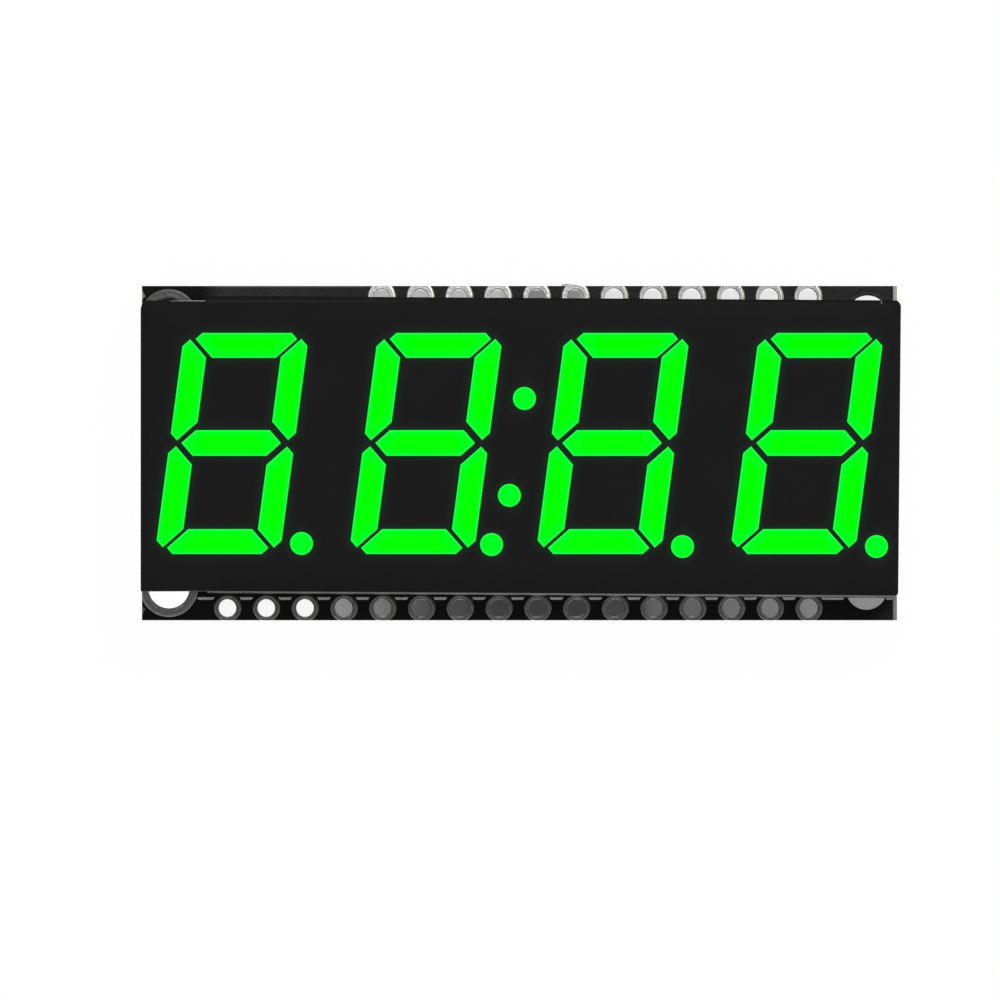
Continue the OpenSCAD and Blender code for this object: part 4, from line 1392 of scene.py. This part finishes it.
def make_chip_solder():
    """A hollow fillet of solder from each pad up round the foot of its lead."""
    low, high = box_mm("driver_chip_solder")
    half = LEAD_W / 2 + lead_low.x - low.x
    # Height, inset from the pad, and how far the solder reaches behind and before the lead's toe.
    levels = [(high.z, 0.0, -1.1, high.y - lead_toe), (high.z - 0.03, 0.02, -1.08, high.y - lead_toe - 0.03),
              (high.z - 0.08, 0.05, -0.99, high.y - lead_toe - 0.17), (high.z - 0.15, 0.075, -0.92, 0.11),
              (low.z + 0.06, 0.09, -0.87, 0.035), (low.z + 0.03, 0.11, -0.82, -0.03)]
    skin = Skin()
    skin.stack([(rounded_rectangle(Vector((inset - half, lead_toe + near)),
                                   Vector((half - inset, lead_toe + far)), 0.07, 0, 3), z)
                for z, inset, near, far in levels])
    solder = along_chip(skin, SOLDER)
    fit(placed("driver_chip_solder_fillets", solder), "solder", "driver_chip_solder")


# ---------------------------------------------------------------- capacitors, resistors and jumpers

SMALL_PARTS = ["bulk_capacitor", "bypass_capacitor", "data_pullup_resistor", "clock_pullup_resistor"]
CAP_L = 0.35                     # metal cap on a small part's end
CAP_T = 0.04
COAT_RISE = 0.03                 # a resistor's black coat stands proud by this


def make_small_bodies():
    """The two ceramic capacitors and the two resistors with their black coats."""
    for node in SMALL_PARTS:
        low, high = box_mm(node)
        resistor = "resistor" in node
        skin = Skin()
        skin.block(low, high, r=0.04, soft=0.03 if resistor else 0.05)
        if resistor:
            coat_low = Vector((low.x + 0.05, low.y + CAP_L + 0.03, low.z - COAT_RISE))
            coat_high = Vector((high.x - 0.05, high.y - CAP_L - 0.03, low.z + 0.05))
            skin.block(coat_low, coat_high, r=0.05, soft=0.015, material=1)
        body = skin.done(node + "_body", ALUMINA if resistor else CERAMIC, RESISTOR_COAT)
        fit(body, "resistor_body" if resistor else "capacitor_ceramic", node)


def solder_climb(low, high, end, way, rise, pad_z):
    """Rings of the hollow solder that climbs the cap on one end of a small part."""
    steps = 6
    rings = []
    for i in range(steps + 1):
        t = i / steps
        near, far = sorted((end - way * (CAP_L - 0.1 * t), end + way * (0.45 * (1 - t) ** 2.2 - 0.02 * t)))
        pinch = 0.12 * math.sin(t * TAU / 4)
        ring = rounded_rectangle(Vector((low.x + pinch, near)), Vector((high.x - pinch, far)), 0.06, 0, 3)
        rings.append((ring, pad_z - rise * t))
    return rings


def make_end_caps():
    """The rounded metal caps on the small parts' ends, and the hollow solder that climbs them."""
    caps, solder = Skin(), Skin()
    skirt = Vector((CAP_T, CAP_T, CAP_T))
    pad_z = box_mm("small_part_solder")[1].z
    for node in SMALL_PARTS:
        low, high = box_mm(node)
        low, high = low - skirt, high + skirt
        rise = 0.6 * (high.z - low.z) + CAP_T
        for way, end in ((-1, low.y), (1, high.y)):
            near, far = sorted((end, end - way * CAP_L))
            caps.block(Vector((low.x, near, low.z)), Vector((high.x, far, high.z)), r=0.07, soft=0.06)
            solder.stack(solder_climb(low, high, end, way, rise, pad_z))
    fit(caps.done("small_part_caps", CAP_TIN), "solder", "small_part_end_caps")
    fit(solder.done("small_part_fillets", SOLDER), "solder", "small_part_solder")


JUMPER = Vector((1.1, 1.5))      # size of one jumper pad


def make_jumpers():
    """Three pairs of bare tinned pads, each with a low dome of tin."""
    low, high = box_mm("address_jumper_pads")
    dome = [(0.0, high.z), (0.0, high.z - 0.02)]
    dome += [(inset, low.z - rise) for inset, rise in
             [(0.06, 0.0), (0.16, 0.02), (0.3, 0.03), (0.42, 0.032)]]
    skin = Skin()
    skin.stack([(rounded_rectangle(-JUMPER / 2, JUMPER / 2, 0.08, inset, 4), z) for inset, z in dome])
    start = (low.x + JUMPER.x / 2, low.y + JUMPER.y / 2, 0)
    pads = repeat(skin, SOLDER, start, 2, high.x - low.x - JUMPER.x,
                  rows=3, row_step=(high.y - low.y - JUMPER.y) / 2)
    fit(placed("jumper_pad_tin", pads), "tinned_copper", "address_jumper_pads")


# ---------------------------------------------------------------- the display's pins

def make_display_pins():
    """The display's two rows of pins, with pointed tips, each in its own cone of solder."""
    for name in ("lower_display_pins", "upper_display_pins"):
        low, high = box_mm(name)
        size = Vector((PIN_W, high.y - low.y)) / 2
        skin = Skin()
        skin.stack([(rounded_rectangle(-size, size, 0.05, inset, 2), z)
                    for inset, z in [(0.08, low.z), (0.035, low.z + 0.07), (0.0, low.z + 0.2),
                                     (0.0, high.z)]])
        row = repeat(skin, PIN_METAL, (pin_xs[0], (low.y + high.y) / 2, 0), len(pin_xs))
        fit(placed(name + "_metal", row), "pin", name)
    low, high = box_mm("display_pin_solder")
    cone = [(r, low.z + 0.03 + rise) for r, rise in
            [(0.16, 0.0), (0.27, 0.05), (0.34, 0.16), (0.43, 0.32), (0.56, 0.48), (0.72, 0.6), (0.85, 0.68)]]
    cone += [(0.87, belly), (PIN_SOLDER_R, belly), (PIN_SOLDER_R, high.z - 0.05), (0.3, high.z)]
    solder = at_display_pins(lathe(cone, closed=False, steps=36), SOLDER)
    fit(placed("pin_solder_cones", solder), "solder", "display_pin_solder")


# ---------------------------------------------------------------- the board's back

TRACK_W = 0.3
FEED_W = 0.8
TRACK_T = 0.03                   # a track under its mask
track_z = belly + 0.004


def lead_tracks():
    """A track from each of the chip's leads, by turns to the nearest pin and to the header row."""
    header_y = short_y - PAD_R
    tracks = []
    for way, pin_y in ((1, pin_rows[1]), (-1, -pin_rows[0])):
        for i, lead_x in enumerate(lead_xs):
            x = lead_x * way
            bent_x = x + LEAD_PITCH / 2
            end = pin_y - PIN_PAD_R if i % 2 == (way < 0) else header_y
            tracks.append([(x, way * 5.45), (x, way * 5.95), (bent_x, way * 6.58), (bent_x, way * end)])
    return tracks


def make_traces():
    """Copper tracks and tented vias on the back, raised a little under the solder mask."""
    header_y = short_y - PAD_R
    tracks = lead_tracks()
    tracks += [[(13.97, way * header_y), (13.97, way * 4.9), (13.2, way * 4.1), (13.2, way * 3.4)]
               for way in (-1, 1)]
    tracks.append([(18.8, -2.6), (21.2, -2.6), (21.9, -3.3), (21.9, -header_y)])
    tracks += [[(14.2, y), (16.4, y)] for y in (-2.6, 0.0, 2.6)]
    ribbons("back_tracks", tracks, track_z, TRACK_W, TRACK_T, MASK_INK)
    feeds = [[(-16.51, -header_y), (-16.51, -3.2), (-14.3, -1.0), (-14.3, 0.3)],
             [(-13.97, -header_y), (-13.97, -5.2), (-14.2, -4.9), (-14.2, -3.8)],
             [(-14.2, 4.2), (-14.2, 5.2), (-12.6, 6.8), (-9.5, 6.8)]]
    ribbons("back_feeds", feeds, track_z, FEED_W, TRACK_T, MASK_INK)
    rim = [(0.16, belly + 0.06), (0.16, belly - 0.004), (0.2, belly - 0.012), (0.3, belly - 0.012),
           (0.34, belly + 0.004), (0.34, belly + 0.06)]
    vias = repeat(lathe(rim, steps=24), MASK_INK, (-4.5 * PITCH, -PITCH / 2, 0), 2, 9 * PITCH,
                  rows=2, row_step=3.4)
    fit(placed("back_vias", vias), "board")


def chip_outline():
    """The driver chip's printed outline, with a half round notch at its first pin's end."""
    _, high = box_mm("driver_chip")
    x, y = high.x + 0.35, high.y - 0.2
    notch_r = 0.9
    return [[(-x, -y)] + circle(-x, 0, notch_r, 16, -TAU / 4, TAU / 2) + [(-x, y)], [(x, -y), (x, y)]]


def jumper_brackets():
    """A printed bracket on each outer side of each pair of jumper pads."""
    low, high = box_mm("address_jumper_pads")
    step = (high.y - low.y - JUMPER.y) / 2
    reach = JUMPER.y / 2 + 0.3
    brackets = []
    for mid_y in (low.y + JUMPER.y / 2 + level * step for level in range(3)):
        for way, x in ((-1, low.x - 0.3), (1, high.x + 0.3)):
            brackets.append([(x - way * 0.5, mid_y - reach), (x, mid_y - reach),
                             (x, mid_y + reach), (x - way * 0.5, mid_y + reach)])
    return brackets


def make_back_ink():
    """Printed outlines of the parts on the back, and the dot by the chip's first pin."""
    lines = chip_outline()
    for node in SMALL_PARTS:
        low, high = box_mm(node)
        x0, y0, x1, y1 = low.x - 0.55, low.y - 0.95, high.x + 0.55, high.y + 0.95
        lines.append([(x0, y0), (x1, y0), (x1, y1), (x0, y1), (x0, y0)])
    lines += jumper_brackets()
    ribbons("back_outline_ink", lines, belly - INK_T / 2, 0.15, INK_T, INK)
    spot = circle(lead_xs[0] - 0.9, -(lead_toe + 0.1), 0.28, 24)
    dot = Skin()
    dot.stack([(spot, belly), (spot, belly - INK_T)])
    fit(dot.done("first_pin_ink", INK), "board")


make_shell()
make_glint_slivers()
for node in BARS + DOTS:
    make_light(node)
make_header_pads()
make_edge_burr()
make_corner_pads()
make_pin_pads()
make_mask("mask_top", deck - MASK, deck)
make_mask("mask_underside", belly, belly + MASK)
make_laminate()
make_top_ink()
make_driver_chip()
make_chip_leads()
make_chip_solder()
make_small_bodies()
make_end_caps()
make_jumpers()
make_display_pins()
make_traces()
make_back_ink()


# ---------------------------------------------------------------- carried-over CAD solids

def paint(node, material):
    """Gives a CAD node its finish."""
    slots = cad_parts[node].data.materials
    slots.clear()
    slots.append(material)


for node, material in [("led_board", LED_BOARD), ("led_chips", LED_CHIP), ("display_potting", POTTING)]:
    paint(node, material)


# ---------------------------------------------------------------- floor, light and camera

# The floor's brightness under the board, along X. It is listed here and not set by the lamps, and it shows
# through the open holes. The first list is for the lower half of the board, the second for the upper.
LOWER_SHADE = [(-13.2, 1.0), (-12.4, 0.27), (-9.2, 0.17), (-8.6, 0.15), (-6.5, 0.068), (-3.4, 0.045),
               (-1.2, 0.030), (4.4, 0.030), (6.4, 0.042), (7.8, 0.05), (8.8, 0.11), (11.5, 0.11),
               (14.0, 0.15), (18.0, 0.19), (22.5, 0.26)]
UPPER_SHADE = [(-21.4, 0.010), (-10.2, 0.40), (-9.0, 0.42), (-1.5, 0.44), (-0.2, 0.17), (2.2, 0.17),
               (3.8, 0.20), (5.4, 0.74), (12.0, 0.80), (19.0, 0.80), (22.6, 0.88)]
FLOOR_SIZE = 6.0                 # metres
FLOOR_DROP = 0.00002             # metres under the part, so that no face touches the floor's
FLOOR_COLOUR = 0.86
SHADOW_SHARE = 0.035             # of the object's shadow that shows beside it
SHADOW_REACH = 6.0


def along_board(finish, x, shades):
    """A smooth grey level along X through these places."""
    low, high = board_low.x, board_high.x
    ramp = add(finish.tree, "ShaderNodeValToRGB", {"Fac": finish.ramp(x, low, high)})
    ramp.color_ramp.interpolation = "LINEAR"
    stops = ramp.color_ramp.elements
    while len(stops) < len(shades):
        stops.new(0.5)
    for stop, (place, level) in zip(stops, shades):
        stop.position = (place - low) / (high - low)
        stop.color = grey(level)
    return ramp.outputs["Color"]


def floor_light(finish, path):
    """How bright the floor looks, and how much of that is its own light: white beside the board."""
    x, y, _ = finish.axes()
    past_x = finish.math("SUBTRACT", finish.math("ABSOLUTE", x), board_high.x)
    past_y = finish.math("SUBTRACT", finish.math("ABSOLUTE", y), board_high.y)
    past_edge = finish.math("MAXIMUM", past_x, past_y)
    beside = finish.ramp(past_edge, -0.25, -0.05)
    upper = finish.ramp(y, -1.0, 1.0)
    under = finish.mix(upper, along_board(finish, x, LOWER_SHADE), along_board(finish, x, UPPER_SHADE))
    under = finish.times(under, finish.drift(finish.noise(0.5, 6.0), 0.97, 1.03))
    under = finish.mix(path["Is Glossy Ray"], under, grey(0.3))
    under_share = finish.ramp(x, -21.5, -21.0, 1.0, 0.9)
    open_share = finish.ramp(past_edge, -0.2, SHADOW_REACH, 1.0 - SHADOW_SHARE, 1.0)
    return finish.ramp(beside, 0.0, 1.0, under, 1.0), finish.ramp(beside, 0.0, 1.0, under_share, open_share)


def make_floor():
    """A white floor that keeps a little of the object's shadow, and is clear from below."""
    bpy.ops.mesh.primitive_plane_add(size=FLOOR_SIZE, location=(0, 0, -FLOOR_DROP))
    floor = bpy.context.object
    floor.name = "floor"
    finish = Finish("white_floor", roughness=0.9, specular=0.0)
    finish.set(base_color=grey(FLOOR_COLOUR))
    tree = finish.tree
    path = add(tree, "ShaderNodeLightPath").outputs
    strength, share = floor_light(finish, path)
    seen = finish.math("MAXIMUM", path["Is Camera Ray"],
                       finish.math("MAXIMUM", path["Is Glossy Ray"], path["Is Transmission Ray"]))
    glow = add(tree, "ShaderNodeEmission", {"Color": grey(1.0), "Strength": strength})
    front = add(tree, "ShaderNodeMixShader", {
        0: finish.times(seen, share), 1: finish.shader.outputs[0], 2: glow.outputs[0]})
    clear = add(tree, "ShaderNodeBsdfTransparent")
    backfacing = add(tree, "ShaderNodeNewGeometry").outputs["Backfacing"]
    both = add(tree, "ShaderNodeMixShader", {0: backfacing, 1: front.outputs[0], 2: clear.outputs[0]})
    tree.links.new(both.outputs[0], finish.out.inputs["Surface"])
    floor.data.materials.append(finish.material)


ROOM_LEVEL = 0.22                # of the light that the room gives all round


def make_room():
    """A plain dim room that looks white to the camera, and to gloss near the horizon."""
    world = bpy.data.worlds.new("room")
    scene.world = world
    world.use_nodes = True
    tree = world.node_tree
    tree.nodes.clear()
    path = add(tree, "ShaderNodeLightPath").outputs
    up = add(tree, "ShaderNodeSeparateXYZ", {0: add(tree, "ShaderNodeTexCoord").outputs["Generated"]})
    low = add(tree, "ShaderNodeMapRange", {
        "Value": up.outputs["Z"], "From Min": 0.2, "From Max": 0.6, "To Min": 1.0, "To Max": 0.0},
        clamp=True, interpolation_type="SMOOTHSTEP").outputs[0]
    seen = math_node(tree, "MAXIMUM", path["Is Camera Ray"], path["Is Transmission Ray"])
    white = math_node(tree, "MAXIMUM", seen, math_node(tree, "MULTIPLY", path["Is Glossy Ray"], low))
    dim = add(tree, "ShaderNodeBackground", {"Color": grey(1.0), "Strength": ROOM_LEVEL})
    bright = add(tree, "ShaderNodeBackground", {"Color": grey(1.0), "Strength": 1.0})
    both = add(tree, "ShaderNodeMixShader", {0: white, 1: dim.outputs[0], 2: bright.outputs[0]})
    out = add(tree, "ShaderNodeOutputWorld")
    tree.links.new(both.outputs[0], out.inputs["Surface"])


def aimed(obj, place, target):
    """Puts an object at a place, with its -Z axis towards the target, both in metres."""
    obj.location = place
    obj.rotation_euler = (Vector(target) - Vector(place)).to_track_quat("-Z", "Y").to_euler()


def make_softbox(name, azimuth, elevation, distance, size, share):
    """A square softbox that gives a level white surface this share of full white. Angles are degrees."""
    lamp = bpy.data.lights.new(name, "AREA")
    lamp.shape = "SQUARE"
    lamp.size = size
    fall = math.sin(math.radians(elevation))
    lamp.energy = share * math.pi ** 2 * distance ** 2 / fall
    obj = bpy.data.objects.new(name, lamp)
    scene.collection.objects.link(obj)
    flat = distance * math.cos(math.radians(elevation))
    turn = math.radians(azimuth)
    aimed(obj, (flat * math.sin(turn), flat * math.cos(turn), distance * fall), (0, 0, 0))


CAMERA_DISTANCE = 2.2            # metres above the board
FIELD = 0.06553                  # metres across the view at the board's top
FIELD_DRIFT = Vector((-1.278, -3.047, 0))      # of the view's middle from the board's, in millimetres


def make_camera():
    """A long lens straight above the face."""
    camera = bpy.data.cameras.new("camera")
    camera.sensor_width = 36.0
    camera.lens = camera.sensor_width * CAMERA_DISTANCE / FIELD
    camera.clip_start, camera.clip_end = 0.05, 10.0
    obj = bpy.data.objects.new("camera", camera)
    scene.collection.objects.link(obj)
    target = (Vector((board_mid.x, board_mid.y, deck)) + FIELD_DRIFT) * MM
    aimed(obj, target + Vector((0, 0, CAMERA_DISTANCE)), target)
    scene.camera = obj


scene.view_settings.view_transform = "Standard"
make_floor()
make_room()
make_softbox("window", azimuth=20, elevation=60, distance=0.9, size=0.5, share=0.75)
make_softbox("fill", azimuth=190, elevation=40, distance=0.9, size=0.4, share=0.12)
make_camera()
